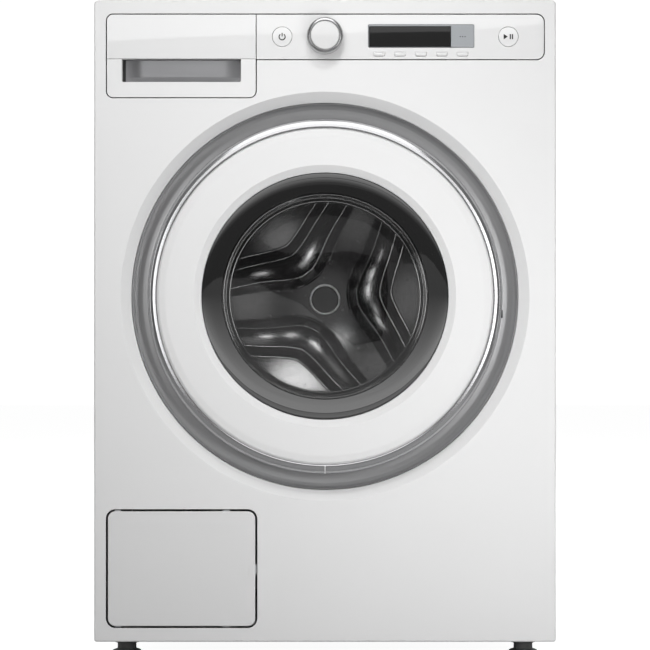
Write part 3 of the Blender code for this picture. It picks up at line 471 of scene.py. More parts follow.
def slab(name, x0, x1, d0, d1, z0, z1, r, mat, body, replaces=(), steps=3):
    """A box with every edge rounded."""
    bm = bmesh.new()
    bmesh.ops.create_cube(bm, size=1.0)
    for v in bm.verts:
        v.co = P(x0 + (v.co.x + 0.5) * (x1 - x0), d0 + (v.co.y + 0.5) * (d1 - d0), z0 + (v.co.z + 0.5) * (z1 - z0))
    bmesh.ops.bevel(bm, geom=list(bm.edges), offset=r * MM, segments=steps, profile=0.5, affect="EDGES")
    return finish_mesh(name, bm, mat, body, replaces, 40)


def cut_with(obj, cutter_bm):
    """Cuts a hole with an exact Boolean and applies it."""
    mesh = bpy.data.meshes.new("cutter")
    bmesh.ops.recalc_face_normals(cutter_bm, faces=cutter_bm.faces)
    cutter_bm.to_mesh(mesh)
    cutter_bm.free()
    cutter = bpy.data.objects.new("cutter", mesh)
    scene.collection.objects.link(cutter)
    m = obj.modifiers.new("cut", "BOOLEAN")
    m.operation, m.object, m.solver = "DIFFERENCE", cutter, "EXACT"
    bpy.context.view_layer.update()
    dg = bpy.context.evaluated_depsgraph_get()
    new = bpy.data.meshes.new_from_object(obj.evaluated_get(dg))
    obj.modifiers.clear()
    old = obj.data
    obj.data = new
    new.set_sharp_from_angle(angle=math.radians(32))
    bpy.data.meshes.remove(old)
    bpy.data.objects.remove(cutter, do_unlink=True)
    bpy.data.meshes.remove(mesh)


def cube_bm(x0, x1, d0, d1, z0, z1):
    bm = bmesh.new()
    bmesh.ops.create_cube(bm, size=1.0)
    for v in bm.verts:
        v.co = P(x0 + (v.co.x + 0.5) * (x1 - x0), d0 + (v.co.y + 0.5) * (d1 - d0), z0 + (v.co.z + 0.5) * (z1 - z0))
    return bm


def sweep(name, path, section, mat, body, replaces=(), closed=False, smooth=40):
    """Sweeps a closed section of (side, up) mm along a path of (point, side vector, up vector)."""
    bm = bmesh.new()
    rows = [[bm.verts.new((p + s * a + u * b) * MM) for a, b in section] for p, s, u in path]
    rows_to_faces(bm, rows, True, closed)
    if not closed:
        bm.faces.new(rows[0])
        bm.faces.new(rows[-1])
    return finish_mesh(name, bm, mat, body, replaces, smooth)


# =========================================================================== cabinet
SH = 1.4
front_outer = rect(-HALF_W, HALF_W, FOOT_H, HEIGHT, (3.2, 3.2, 6.0, 6.0), 8)
outer_profile = edge(2.2, RETURN_D)[:-1] + [(0.0, RETURN_D), (-SH, RETURN_D), (-SH, 4.0), (-4.0, SH)]
dish = fillet([(2.0, 0.0), (0.0, 0.0, 1.4), (-13.2, 13.0, 1.6), (-13.4, 41.9), (-12.0, 41.9), (-12.0, 14.0), (1.4, SH)], False, 5)
top_opening = outline([(-282.3, 723.5, 9.3), (-87.9, 723.5, 9.3), (-87.9, 772.5, 1.2), (283.1, 772.5, 10.7), (283.1, 832.6, 10.7), (-282.3, 832.6, 9.3)], 8)
flap_opening = rect(FLAP[0] - 2.4, FLAP[1] + 2.4, FLAP[2] - 2.4, FLAP[3] + 2.4, 12.4, 8)
deep_edge = edge(0.45, 11.0, sign=1)[:-1] + [(0.0, 11.0), (1.2, 11.0), (1.2, SH)]
front_sheet = plate("front_sheet", (front_outer, outer_profile),
                    [(circle(0, DOOR_Z, 263.4, 192), dish), (top_opening, deep_edge), (flap_opening, deep_edge)],
                    ENAMEL, "cabinet", "front_panel")
# the return faces inside the drawer, panel and flap openings get the near-black colour: painted shade in the gaps round
# the drawer and the flap
front_sheet.data.materials.append(GAP_PAINTED_SHADE)
for face in front_sheet.data.polygons:
    c = face.center / MM
    deep = c.y - Y_FRONT
    if 0.44 < deep < 11.2 and abs(face.normal.y) < 0.3 and abs(c.x) < 284 and (c.z > 723 and c.z < 833 or c.x < -86 and 40 < c.z < 195):
        face.material_index = 1
recess_floor = lathe("recess_floor", fillet([(168.0, 42.1, 0.5), (254.0, 42.1), (254.0, 43.4), (168.0, 43.4, 0.5)], True, 4), ENAMEL, "cabinet", "door_recess_plate", n=192)
cut_with(recess_floor, cube_bm(182, 208, 36, 50, DOOR_Z - 9, DOOR_Z + 9))

for side, s in (("left", -1), ("right", 1)):
    # side sheet with a shallow pressed field
    bm = bmesh.new()
    x_out = s * HALF_W
    f = outline([(RETURN_D + 0.4, FOOT_H, 1.0), (CAB_D - SH - 0.3, FOOT_H, 1.0), (CAB_D - SH - 0.3, 827.0, 1.0), (RETURN_D + 0.4, 827.0, 1.0)], 3)
    g = outline([(70, 90, 26), (515, 90, 26), (515, 760, 26), (70, 760, 26)], 8)
    rows_out = [[bm.verts.new(P(x_out - s * depth, d, z)) for d, z in f(o)] for o, depth in ((-0.5, 0.0), (0.0, 0.5), (0.0, SH))]
    rows_in = [[bm.verts.new(P(x_out - s * depth, d, z)) for d, z in g(o)] for o, depth in ((0, 0.0), (-1.0, 0.15), (-5.0, 0.75), (-6.0, 0.9))]
    rows_to_faces(bm, rows_out)
    rows_to_faces(bm, rows_in)
    bmesh.ops.triangle_fill(bm, edges=loop_edges(bm, rows_out[0]) + loop_edges(bm, rows_in[0]), use_beauty=True)
    bm.faces.new(rows_in[-1])
    bm.faces.new(rows_out[-1])
    finish_mesh(f"side_sheet_{side}", bm, ENAMEL, "cabinet", f"side_panel_{side}")

# worktop: a laminated board with a soft front edge
bm = bmesh.new()
f = outline([(-HALF_W, RETURN_D + 0.4, 3), (HALF_W, RETURN_D + 0.4, 3), (HALF_W, CAB_D, 6), (-HALF_W, CAB_D, 6)], 6)
rows = [[bm.verts.new(P(x, d, z)) for x, d in f(o)] for o, z in
        [(-1.0, 827.4), (0.0, 828.4), (0.0, 847.0)] + [(-3.0 * (1 - math.cos(t)), 847.0 + 3.0 * math.sin(t)) for t in (0.26, 0.52, 0.79, 1.05, 1.31, 1.5708)]]
rows_to_faces(bm, rows)
bm.faces.new(rows[0])
bm.faces.new(rows[-1])
finish_mesh("worktop", bm, WORKTOP, "cabinet", "top_cover")

# rear sheet with its round pressing, service openings, screws and transit covers
rear_outer = rect(-HALF_W, HALF_W, FOOT_H, 827.0, 3.0, 4)
press = fillet([(1.0, CAB_D), (-1.0, CAB_D, 4.0), (-14.0, CAB_D + 5.8, 3.0), (-26.0, CAB_D + 5.8)], False, 4)
flipped = lambda profile: [(o, d) for o, d in profile]
bm = bmesh.new()
firsts, lasts = [], []
bounds_list = [(rear_outer, [(-0.8, CAB_D), (0.0, CAB_D - 0.8), (0.0, CAB_D - SH)]),
               (circle(-215, 770, 17.0, 40), [(0.4, CAB_D), (0.0, CAB_D - 0.4), (0.0, CAB_D - SH)]),
               (circle(-245, 75, 13.5, 40), [(0.4, CAB_D), (0.0, CAB_D - 0.4), (0.0, CAB_D - SH)]),
               (rect(198.0, 232.0, 755.0, 781.0, 2.0, 4), [(0.4, CAB_D), (0.0, CAB_D - 0.4), (0.0, CAB_D - SH)])]
for ff, profile in bounds_list:
    rows = [[bm.verts.new(P(x, d, z)) for x, z in ff(o)] for o, d in profile]
    rows_to_faces(bm, rows)
    firsts += loop_edges(bm, rows[0])
    lasts += loop_edges(bm, rows[-1])
ff = circle(0, DOOR_Z, 206.0, 128)
rows = [[bm.verts.new(P(x, d, z)) for x, z in ff(o)] for o, d in press]
rows_to_faces(bm, rows)
firsts += loop_edges(bm, rows[0])
inner_fill = [bm.verts.new(P(x, CAB_D + 5.8, z)) for x, z in ff(-90)]
rows_to_faces(bm, [rows[-1], inner_fill])
cap_ring = [bm.verts.new(P(x, CAB_D + 3.0, z)) for x, z in ff(-96)]
rows_to_faces(bm, [inner_fill, cap_ring])
bm.faces.new(cap_ring)
bmesh.ops.triangle_fill(bm, edges=firsts, use_beauty=True)
bmesh.ops.triangle_fill(bm, edges=lasts, use_beauty=True)
finish_mesh("rear_sheet", bm, GALVANISED, "cabinet", "rear_panel")


def screw_head(name, x, z, face, body="cabinet"):
    """A pan-head screw on the back, with a cross recess."""
    o = lathe(name, fillet([(0, face + 2.0), (3.2, face + 1.9, 1.0), (4.2, face + 0.4, 0.8), (4.2, face - 0.3), (0, face - 0.3)], True, 4), ZINC, body, n=24, at=(x, z))
    cut_with(o, cube_bm(x - 2.4, x + 2.4, face + 0.9, face + 3, z - 0.4, z + 0.4))
    cut_with(o, cube_bm(x - 0.4, x + 0.4, face + 0.9, face + 3, z - 2.4, z + 2.4))
    return use_slot(o)


k = 0
for x in (-284, -150, 0, 150, 284):
    for z in (812, 38):
        k += 1
        screw_head(f"rear_screw_{k}", x, z, CAB_D)
for x in (-284, 284):
    for z in (240, 425, 610):
        k += 1
        screw_head(f"rear_screw_{k}", x, z, CAB_D)
for i, (x, z) in enumerate(((-235, 640), (235, 640), (-235, 250), (235, 250))):
    o = lathe(f"transit_cover_{i + 1}", fillet([(0, CAB_D + 3.0), (12.0, CAB_D + 2.6, 3.0), (16.0, CAB_D + 0.2, 1.0), (16.0, CAB_D - 0.3), (0, CAB_D - 0.3)], True, 4),
              GREY_PLASTIC, "cabinet", n=48, at=(x, z))
    use_slot(o)

# =========================================================================== control panel
panel_outer = rect(*PANEL, (0.3, 9.5, 9.5, 0.3), 10)
round_hole = edge(0.35, 6.0, sign=1, steps=3)
panel_holes = [(circle(POWER_X, CONTROL_Z, 13.1, 72), round_hole), (circle(START_X, CONTROL_Z, 13.1, 72), round_hole),
               (circle(0.0, CONTROL_Z, 5.2, 32), round_hole), (rect(55.3, 192.3, 788.5, 818.7, 1.8, 4), round_hole)]
for x in KEY_X:
    panel_holes.append((rect(x - 7.68, x + 7.68, 777.2, 783.25, (2.95, 2.95, 0.95, 0.95), 5), edge(0.12, 6.0, sign=1, steps=3)))
plate("fascia", (panel_outer, edge(0.6, 6.0)), panel_holes, PANEL_WHITE, "cabinet", "control_panel")

# display: silver frame, black window, label field with three dots
plate("display_bezel", (rect(55.6, 192.0, 788.8, 818.4, 1.6, 5), [(-0.9, -0.8), (-0.35, -0.65), (0.0, -0.2), (0.0, 6.0)]),
      [(rect(57.1, 162.2, 790.0, 816.2, 0.4, 3), [(0.35, -0.8), (0.0, -0.45), (0.0, 4.2)])], SILVER, "cabinet", "display_frame", at_end=False)
plate("display_pane", (rect(57.4, 161.9, 790.3, 815.9, 0.4, 3), edge(0.25, 3.6, front=-0.3)), [], BLACK_GLASS, "cabinet", "display_window")
for i in range(3):
    use_slot(lathe(f"label_dot_{i + 1}", fillet([(0, -0.92), (0.72, -0.90, 0.05), (0.72, -0.7), (0, -0.7)], True, 2), INK, "cabinet", n=20, at=(174.1 + 3.1 * i, CONTROL_Z)))

# round push buttons
for tag, x in (("power_button", POWER_X), ("start_button", START_X)):
    lathe(tag + "_cap", fillet([(0, -0.75), (10.6, -0.9), (12.3, -0.75, 0.5), (12.6, 0.2), (12.6, 6.8), (14.3, 6.8), (14.3, 8.6), (0, 8.6)], True, 4),
          PANEL_WHITE, tag, tag, n=96, at=(x, CONTROL_Z))


def ribbon(name, points, width, face, mat, body, thick=0.06, closed=False):
    """A flat printed line of constant width along points (x, z), lying on a face at depth d."""
    bm = bmesh.new()
    n = len(points)
    left, right = [], []
    for i, (x, z) in enumerate(points):
        a = Vector(points[(i - 1) % n] if (closed or i) else points[0])
        b = Vector(points[(i + 1) % n] if (closed or i < n - 1) else points[-1])
        t = (b - a).normalized()
        nn = Vector((-t.y, t.x)) * width / 2
        left.append((x + nn.x, z + nn.y))
        right.append((x - nn.x, z - nn.y))
    rows = [[bm.verts.new(P(x, face - thick, z)) for x, z in left], [bm.verts.new(P(x, face - thick, z)) for x, z in right],
            [bm.verts.new(P(x, face + 0.02, z)) for x, z in right], [bm.verts.new(P(x, face + 0.02, z)) for x, z in left]]
    for a, b in zip(rows, rows[1:] + rows[:1]):
        for i in range(n if closed else n - 1):
            j = (i + 1) % n
            bm.faces.new((a[i], a[j], b[j], b[i]))
    if not closed:
        for i in (0, n - 1):
            bm.faces.new([row[i] for row in rows])
    o = finish_mesh(name, bm, mat, body)
    return use_slot(o)


def arc_points(cx, cz, r, a0, a1, n=28):
    return [(cx + r * math.cos(math.radians(a0 + (a1 - a0) * i / n)), cz + r * math.sin(math.radians(a0 + (a1 - a0) * i / n))) for i in range(n + 1)]


BUTTON_FACE = -0.86
ribbon("power_mark_arc", arc_points(POWER_X, CONTROL_Z - 0.2, 3.9, 125, 415), 1.45, BUTTON_FACE, INK, "power_button", 0.07)
ribbon("power_mark_bar", [(POWER_X, CONTROL_Z + 0.2), (POWER_X, CONTROL_Z + 4.9)], 1.45, BUTTON_FACE, INK, "power_button", 0.07)
bm = bmesh.new()
tri = [(START_X - 6.2, CONTROL_Z - 3.5), (START_X - 0.9, CONTROL_Z), (START_X - 6.2, CONTROL_Z + 3.5)]
rows = [[bm.verts.new(P(x, d, z)) for x, z in tri] for d in (BUTTON_FACE - 0.07, BUTTON_FACE + 0.02)]
rows_to_faces(bm, rows)
bm.faces.new(rows[0])
bm.faces.new(rows[1])
use_slot(finish_mesh("start_mark_triangle", bm, INK, "start_button"))
for i, dx in enumerate((2.4, 5.2)):
    ribbon(f"start_mark_bar_{i + 1}", [(START_X + dx, CONTROL_Z - 3.3), (START_X + dx, CONTROL_Z + 3.3)], 1.6, BUTTON_FACE, INK, "start_button", 0.07)

# five small keys, crowned, with a step at the foot
for i, x in enumerate(KEY_X):
    bm = bmesh.new()
    f = rect(x - 7.5, x + 7.5, 777.9, 783.1, (2.8, 2.8, 0.8, 0.8), 6)
    prof = [(-2.3, -1.4), (-1.95, -1.38), (-1.5, -1.2), (-0.7, -0.55), (-0.15, -0.05), (0.0, 0.3), (0.0, 6.8)]
    rows = [[bm.verts.new(P(px, d, pz)) for px, pz in f(o)] for o, d in prof]
    rows_to_faces(bm, rows)
    bm.faces.new(rows[0])
    bm.faces.new(rows[-1])
    finish_mesh(f"key_cap_{i + 1}", bm, KEY_WHITE, f"option_key_{i + 1}", f"option_key_{i + 1}")

# programme knob: bright ring with a rolled edge, and a plain white cap set in it
lathe("knob_body", fillet([(18.7, -15.0), (18.7, -17.7, 0.3), (19.3, -18.8, 0.5), (21.9, -17.9, 3.0), (23.3, -15.2, 1.5), (23.3, -2.6, 1.0), (22.4, -1.2, 0.6), (4.2, -1.2), (4.2, 10.0), (0, 10.0), (0, -15.0)], True, 6),
      KNOB_METAL, "knob", "knob_ring", n=128, at=(0.0, CONTROL_Z))
lathe("knob_face", fillet([(0, -20.0), (15.5, -19.95), (17.9, -19.5, 1.2), (18.4, -17.8, 0.6), (18.4, -15.3), (0, -15.3)], True, 6), KNOB_WHITE, "knob", "knob_cap", n=128, at=(0.0, CONTROL_Z))
ribbon("knob_pointer", [(0.0, CONTROL_Z + 12.4), (0.0, CONTROL_Z + 16.0)], 1.0, -19.86, PALE_INK, "knob", 0.07)

# =========================================================================== detergent drawer
seam_z = 774.3
plate("drawer_fascia", (rect(DRAWER[0], DRAWER[1], seam_z + 0.25, DRAWER[3], (0.3, 0.3, 0.3, 8.0), 10), edge(0.5, 17.8)), [], PANEL_WHITE, "drawer", "drawer_front")
grip_f = outline([(GRIP[0], GRIP[2], 2.4), (GRIP[1], GRIP[2], 2.4), (GRIP[1], seam_z - 0.02, 0.1), (GRIP[0], seam_z - 0.02, 0.1)], 6)
# lower part of the drawer front: a frame round the finger recess, open at its top towards the upper part
bm = bmesh.new()
lower = outline([(DRAWER[0], DRAWER[2], 8.0), (DRAWER[1], DRAWER[2], 8.0), (DRAWER[1], seam_z - 0.25, 0.3), (GRIP[1], seam_z - 0.25, 0.3),
                 (GRIP[1], GRIP[2], 2.4), (GRIP[0], GRIP[2], 2.4), (GRIP[0], seam_z - 0.25, 0.3), (DRAWER[0], seam_z - 0.25, 0.3)], 8)
rows = [[bm.verts.new(P(x, d, z)) for x, z in lower(o)] for o, d in [(-0.85, 0.0), (-0.5, 0.0), (-0.2, 0.12), (0.0, 0.45), (0.0, 17.8)]]
rows_to_faces(bm, rows)
bmesh.ops.triangle_fill(bm, edges=loop_edges(bm, rows[0]), use_beauty=True)
bmesh.ops.triangle_fill(bm, edges=loop_edges(bm, rows[-1]), use_beauty=True)
use_slot(finish_mesh("drawer_lower_front", bm, KEY_WHITE, "drawer"))
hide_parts("drawer_front")
# the back of the finger recess is a near-black slab: painted shade inside the recess behind the handle plate
slab("drawer_recess_back", GRIP[0] - 1.5, GRIP[1] + 1.5, 15.6, 17.6, GRIP[2] - 1.5, seam_z + 0.1, 0.2, GAP_PAINTED_SHADE, "drawer")
use_slot(bpy.data.objects["drawer_recess_back"])

# grey handle plate: a shallow trough with upturned sides
bm = bmesh.new()
section = fillet([(GRIP[2] + 0.5, 15.3), (GRIP[2] + 0.5, 14.4, 0.4), (GRIP[2] + 7.0, 11.0, 10.0), (seam_z - 1.6, 8.9, 0.8), (seam_z - 0.4, 9.6), (seam_z - 0.4, 15.3)], False, 6)
columns = []
span = 56
for i in range(span + 1):
    t = i / span
    x = GRIP[0] + 4.0 + (GRIP[1] - GRIP[0] - 4.3) * t
    turn = 6.4 * max(0.0, 1 - t * 6.5) ** 1.7 + 4.6 * max(0.0, 1 - (1 - t) * 6.5) ** 1.5
    columns.append([bm.verts.new(P(x, min(15.2, d + turn) if k not in (0, len(section) - 1) else 15.5, z)) for k, (z, d) in enumerate(section)])
rows_to_faces(bm, columns, True)
bm.faces.new(columns[0])
bm.faces.new(columns[-1])
finish_mesh("handle_plate", bm, HANDLE, "drawer", "drawer_handle_plate", 50)

# =========================================================================== service flap
flap_outer = rect(FLAP[0] + 0.3, FLAP[1] - 0.3, FLAP[2] + 0.3, FLAP[3] - 0.3, 9.7, 10)
plate("flap_door", (flap_outer, edge(0.6, 3.0, back=0.3)), [], FLAP_WHITE, "filter_flap", "filter_flap")
for i, (x0, x1, z0, z1) in enumerate(((-270.8, -262.8, FLAP[3] - 4, FLAP[3] + 1.6), (-270.8, -262.8, FLAP[2] - 1.6, FLAP[2] + 4),
                                     (-132.0, -122.6, FLAP[3] - 4, FLAP[3] + 1.5), (-132.0, -122.6, FLAP[2] - 1.5, FLAP[2] + 4),
                                     (-96.0, FLAP[1] + 1.4, 110.0, 123.0))):
    slab(f"flap_tab_{i + 1}", x0, x1, 1.6, 5.0, z0, z1, 0.25, GREY_PLASTIC, "filter_flap")
    use_slot(bpy.data.objects[f"flap_tab_{i + 1}"])
slab("flap_rib_upper", -258, -110, 2.6, 7.0, 176, 179, 0.4, FLAP_WHITE, "filter_flap")
slab("flap_rib_lower", -258, -110, 2.6, 7.0, 57, 60, 0.4, FLAP_WHITE, "filter_flap")
for n_ in ("flap_rib_upper", "flap_rib_lower"):
    use_slot(bpy.data.objects[n_])
# a faint moulded bar where a coin or finger presses
plate("flap_press_bar", (rect(-98.4, -97.2, 108.0, 126.5, 0.5, 4), [(-0.25, -0.22), (0.0, -0.05), (0.0, 0.3)]), [], FLAP_WHITE, "filter_flap")
use_slot(bpy.data.objects["flap_press_bar"])

# filter cap: fluted turning knob
bm = bmesh.new()
count = 144
rings = []
for r, d, flute in ((20.0, 60.0, 0), (20.0, 34.2, 0), (27.6, 34.0, 0), (28.0, 33.4, 1), (28.0, 26.6, 1), (27.0, 25.0, 1), (25.6, 24.2, 0), (0.01, 24.0, 0)):
    rings.append([bm.verts.new(P(-185 + (r - 0.7 * flute * (0.5 - 0.5 * math.cos(36 * 2 * math.pi * i / count))) * math.cos(2 * math.pi * i / count), d,
                                 100 + (r - 0.7 * flute * (0.5 - 0.5 * math.cos(36 * 2 * math.pi * i / count))) * math.sin(2 * math.pi * i / count))) for i in range(count)])
rows_to_faces(bm, rings)
bm.faces.new(rings[0])
finish_mesh("filter_knob", bm, DARK_PLASTIC, "filter_cap", "filter_cap")
slab("filter_knob_grip", -208, -162, 13.0, 25.0, 96.5, 103.5, 1.6, DARK_PLASTIC, "filter_cap")
use_slot(bpy.data.objects["filter_knob_grip"])

# =========================================================================== levelling feet
for corner, s, d in (("front_left", -1, FOOT_D[0]), ("front_right", 1, FOOT_D[0]), ("rear_left", -1, FOOT_D[1]), ("rear_right", 1, FOOT_D[1])):
    body = f"foot_{corner}"
    x = s * FOOT_X
    lathe(f"foot_pad_{corner}", fillet([(0, 0), (17.6, 0, 0.8), (18.6, 1.6, 0.8), (18.6, 5.2, 1.2), (12.4, 7.4, 1.0), (12.2, 15.6), (0, 15.6)], True, 4),
          FOOT_PLASTIC, body, body, n=64, axis="Z", at=(x, d))
    bm = bmesh.new()
    hexf = lambda r: [(x + r * math.cos(math.radians(60 * i)), d + r * math.sin(math.radians(60 * i))) for i in range(6)]
    rows = [[bm.verts.new(P(px, pd, z)) for px, pd in hexf(r)] for r, z in ((12.0, 14.9), (15.4, 15.0), (18.5, 17.4), (18.5, 21.2), (17.9, 21.9), (5.0, 22.0))]
    rows_to_faces(bm, rows)
    bm.faces.new(rows[0])
    bm.faces.new(rows[-1])
    use_slot(finish_mesh(f"foot_nut_{corner}", bm, FOOT_PLASTIC, body, smooth=10))
    # threaded stem
    bm = bmesh.new()
    turns, steps = 25, 20
    rows = []
    for i in range(turns * steps + 1):
        z = 22.0 + 1.6 * i / steps
        if z > 62:
            break
        t = 2 * math.pi * i / steps
        rows.append(bm.verts.new(P(x + 4.9 * math.cos(t), d + 4.9 * math.sin(t), z)))
        rows.append(bm.verts.new(P(x + 4.1 * math.cos(t), d + 4.1 * math.sin(t), z + 0.8)))
    for i in range(0, len(rows) - 3, 2):
        bm.faces.new((rows[i], rows[i + 2], rows[i + 3], rows[i + 1]))
    for i in range(1, len(rows) - 2 * steps - 1, 2):
        bm.faces.new((rows[i], rows[i + 2], rows[i + 1 + 2 * steps], rows[i - 1 + 2 * steps]))
    use_slot(finish_mesh(f"foot_stem_{corner}", bm, ZINC, body))

# =========================================================================== door surround, door
ring_profile = fillet([(249.2, 26.0), (249.2, 10.9, 0.5), (248.5, 10.5, 0.4), (247.9, 10.9, 0.3), (245.6, 12.5, 1.5), (241.5, 14.2, 8.0), (236.0, 14.9, 14.0), (231.0, 14.3, 10.0), (227.0, 12.9, 1.0), (226.6, 14.0, 0.4), (226.6, 26.0)], True, 6)
lathe("surround_ring", ring_profile, SATIN, "cabinet", "door_surround_ring", n=240, smooth=50)

trim_profile = fillet([(227.9, -3.3), (227.9, -6.6, 0.8), (227.0, -8.9, 2.5), (224.3, -11.7, 4.0), (220.9, -13.4, 4.0), (217.6, -13.7, 0.6), (216.75, -13.2, 0.4), (216.75, -3.3)], True, 7)
lathe("door_rim", trim_profile, CHROME, "door", "door_trim_ring", n=240, smooth=60)
slab("rim_joint_cover", -0.6, 0.6, -13.95, -5.0, DOOR_Z - 227.4, DOOR_Z - 217.2, 0.2, JOINT_METAL, "door")
use_slot(bpy.data.objects["rim_joint_cover"])
# small release notch in the gap at the handle side, drawn as a near-black block: painted shade in the notch
slab("release_notch", 227.2, 229.6, 9.0, 13.6, 440.6, 450.6, 0.2, GAP_PAINTED_SHADE, "cabinet")
use_slot(bpy.data.objects["release_notch"])

cover_profile = fillet([(216.5, -3.4), (216.5, -9.6, 1.4), (213.6, -12.2, 4.0), (205.0, -14.0, 20.0), (168.2, -14.0, 1.2), (158.9, -6.9, 0.5), (158.9, -3.7), (161.3, -3.7), (168.6, -10.6), (212.4, -10.3), (213.2, -3.4)], True, 7)
lathe("door_cover_ring", cover_profile, COVER_WHITE, "door", "door_cover", n=240, smooth=40)

lathe("outer_glass", [(0, -6.75), (66.0, -6.72), (132.6, -6.66), (133.0, -6.64), (133.0, -2.3), (0, -2.3)], WINDOW, "door", "door_window", n=200, smooth=60)
lathe("glass_band", fillet([(133.0, -6.64), (140.0, -6.62), (146.0, -6.56), (150.0, -6.42), (153.5, -6.18), (156.4, -5.88), (157.9, -5.6, 0.3), (158.3, -5.0, 0.3), (158.3, -2.3, 0.4), (133.0, -2.3)], True, 4, holding=False),
      BLACK_BAND, "door", "door_window", n=200, smooth=60)

bowl_profile = fillet([(150.0, -1.7), (150.0, 4.7, 1.0), (137.2, 4.7, 2.0), (134.0, 12.0, 8.0), (131.6, 62.0, 20.0), (128.4, 100.0, 10.0), (120.0, 113.0, 10.0), (60.0, 118.0, 30.0), (0, 118.8),
                       (0, 115.0), (60.0, 114.2, 30.0), (118.0, 109.4, 8.0), (124.6, 98.0, 8.0), (127.8, 61.0, 20.0), (130.4, 8.0, 6.0), (134.6, -1.7)], True, 7)
lathe("glass_bowl", bowl_profile, BOWL, "door", "door_bowl", n=200, smooth=40)
for k_, (r_, d_, w_) in enumerate(((131.2, 3.0, 1.3), (128.9, 30.0, 0.7), (126.0, 62.0, 1.5))):
    bead = lathe(f"bowl_bead_{k_ + 1}", [(r_ + w_ * math.cos(t_ * math.pi / 6), d_ + w_ * math.sin(t_ * math.pi / 6)) for t_ in range(12)], BEAD, "door", n=200, smooth=60)
    use_slot(bead)

frame_profile = fillet([(212.4, -2.3), (212.4, 25.8, 6.0), (203.0, 36.8, 5.0), (162.0, 36.8, 2.0), (139.7, 27.8, 1.0), (139.7, 5.5), (150.4, 5.5), (150.4, 28.6, 1.0), (163.0, 34.2), (202.0, 34.2), (209.5, 25.2), (209.5, -2.3)], True, 5)
inner = lathe("door_inner_shell", frame_profile, LIGHT_PLASTIC, "door", "door_inner_frame", n=160)
cut_with(inner, cube_bm(-230, -163, -10, 50, DOOR_Z - 44, DOOR_Z + 44))
cut_with(inner, cube_bm(186, 198, 30, 45, DOOR_Z - 7, DOOR_Z + 7))
for i in range(10):
    t = math.radians(18 + 36 * i)
    x, z = 185 * math.cos(t), DOOR_Z + 185 * math.sin(t)
    if abs(z - DOOR_Z) < 60 and abs(x) > 150:
        continue
    o = lathe(f"frame_screw_{i + 1}", fillet([(0, 38.4), (2.6, 38.3, 0.6), (3.6, 37.4, 0.5), (3.6, 36.7), (0, 36.7)], True, 3), ZINC, "door", n=24, at=(x, z))
    cut_with(o, cube_bm(x - 2, x + 2, 37.5, 39.5, z - 0.35, z + 0.35))
    cut_with(o, cube_bm(x - 0.35, x + 0.35, 37.5, 39.5, z - 2, z + 2))
    use_slot(o)
lathe("seal_lip", fillet([(141.2, 29.6), (160.3, 37.2, 1.5), (161.0, 43.0, 1.6), (158.0, 44.1, 1.0), (155.0, 41.6, 1.0), (152.6, 44.1, 1.0), (149.0, 43.0, 1.4), (141.2, 36.6, 1.0)], True, 5),
      RUBBER, "door", "door_seal", n=160)

# =========================================================================== drum
lathe("drum_wall", fillet([(160.6, 71.0, 0.8), (163.0, 71.0, 1.5), (166.0, 75.0, 2.0), (231.8, 84.0, 6.0), (239.9, 92.5, 3.0), (239.9, 403.8), (239.0, 403.8), (239.0, 93.5, 3.0), (231.2, 85.2, 5.0), (165.4, 76.0, 2.0), (160.6, 73.0, 0.8)], True, 4),
      DRUM_WALL, "drum", "drum_shell", n=160)
for k_ in range(3):
    turn = math.radians(60 + 120 * k_)
    bm = bmesh.new()
    sec = fillet([(-23.5, 238.6, 1.0), (23.5, 238.6, 1.0), (15.0, 214.0, 12.0), (9.0, 198.2, 7.0), (-9.0, 198.2, 7.0), (-15.0, 214.0, 12.0)], True, 6)
    rows = []
    for d, shrink in ((131.0, 0.0), (132.0, 0.6), (138.0, 0.92), (150.0, 1.0), (360.0, 1.0), (372.0, 0.92), (378.0, 0.6), (379.0, 0.0)):
        row = []
        for u, v in sec:
            vv = 238.6 - (238.6 - v) * (0.25 + 0.75 * shrink)
            row.append(bm.verts.new(P(u * math.cos(turn) - vv * math.sin(turn), d, DOOR_Z + u * math.sin(turn) + vv * math.cos(turn))))
        rows.append(row)
    rows_to_faces(bm, rows)
    bm.faces.new(rows[0])
    bm.faces.new(rows[-1])
    o = finish_mesh(f"drum_lifter_{k_ + 1}", bm, DRUM_BACK, "drum", smooth=50)
    use_slot(o)

lathe("drum_back_plate", fillet([(0, 392.2), (60.0, 392.2, 30.0), (150.0, 392.2, 60.0), (228.0, 392.4, 4.0), (236.8, 396.2, 2.0), (236.8, 400.8), (224.0, 394.4), (40.0, 394.6, 2.0), (37.5, 419.5), (15.0, 419.5), (15.0, 514.0), (0, 514.0)], True, 6),
      DRUM_PLATE, "drum", "drum_back", n=200, smooth=30)
lathe("hub_ring", fillet([(19.6, 385.6, 0.3), (21.9, 385.3, 0.9), (22.6, 388.0, 0.6), (22.6, 391.9), (19.6, 391.9)], True, 5), JOINT_METAL, "drum", n=96)
lathe("hub_cap", fillet([(0, 385.9), (18.6, 386.0, 0.5), (19.4, 387.0, 0.3), (19.4, 391.9), (0, 391.9)], True, 4), HUB, "drum", n=96)
for n_ in ("hub_ring", "hub_cap"):
    use_slot(bpy.data.objects[n_])


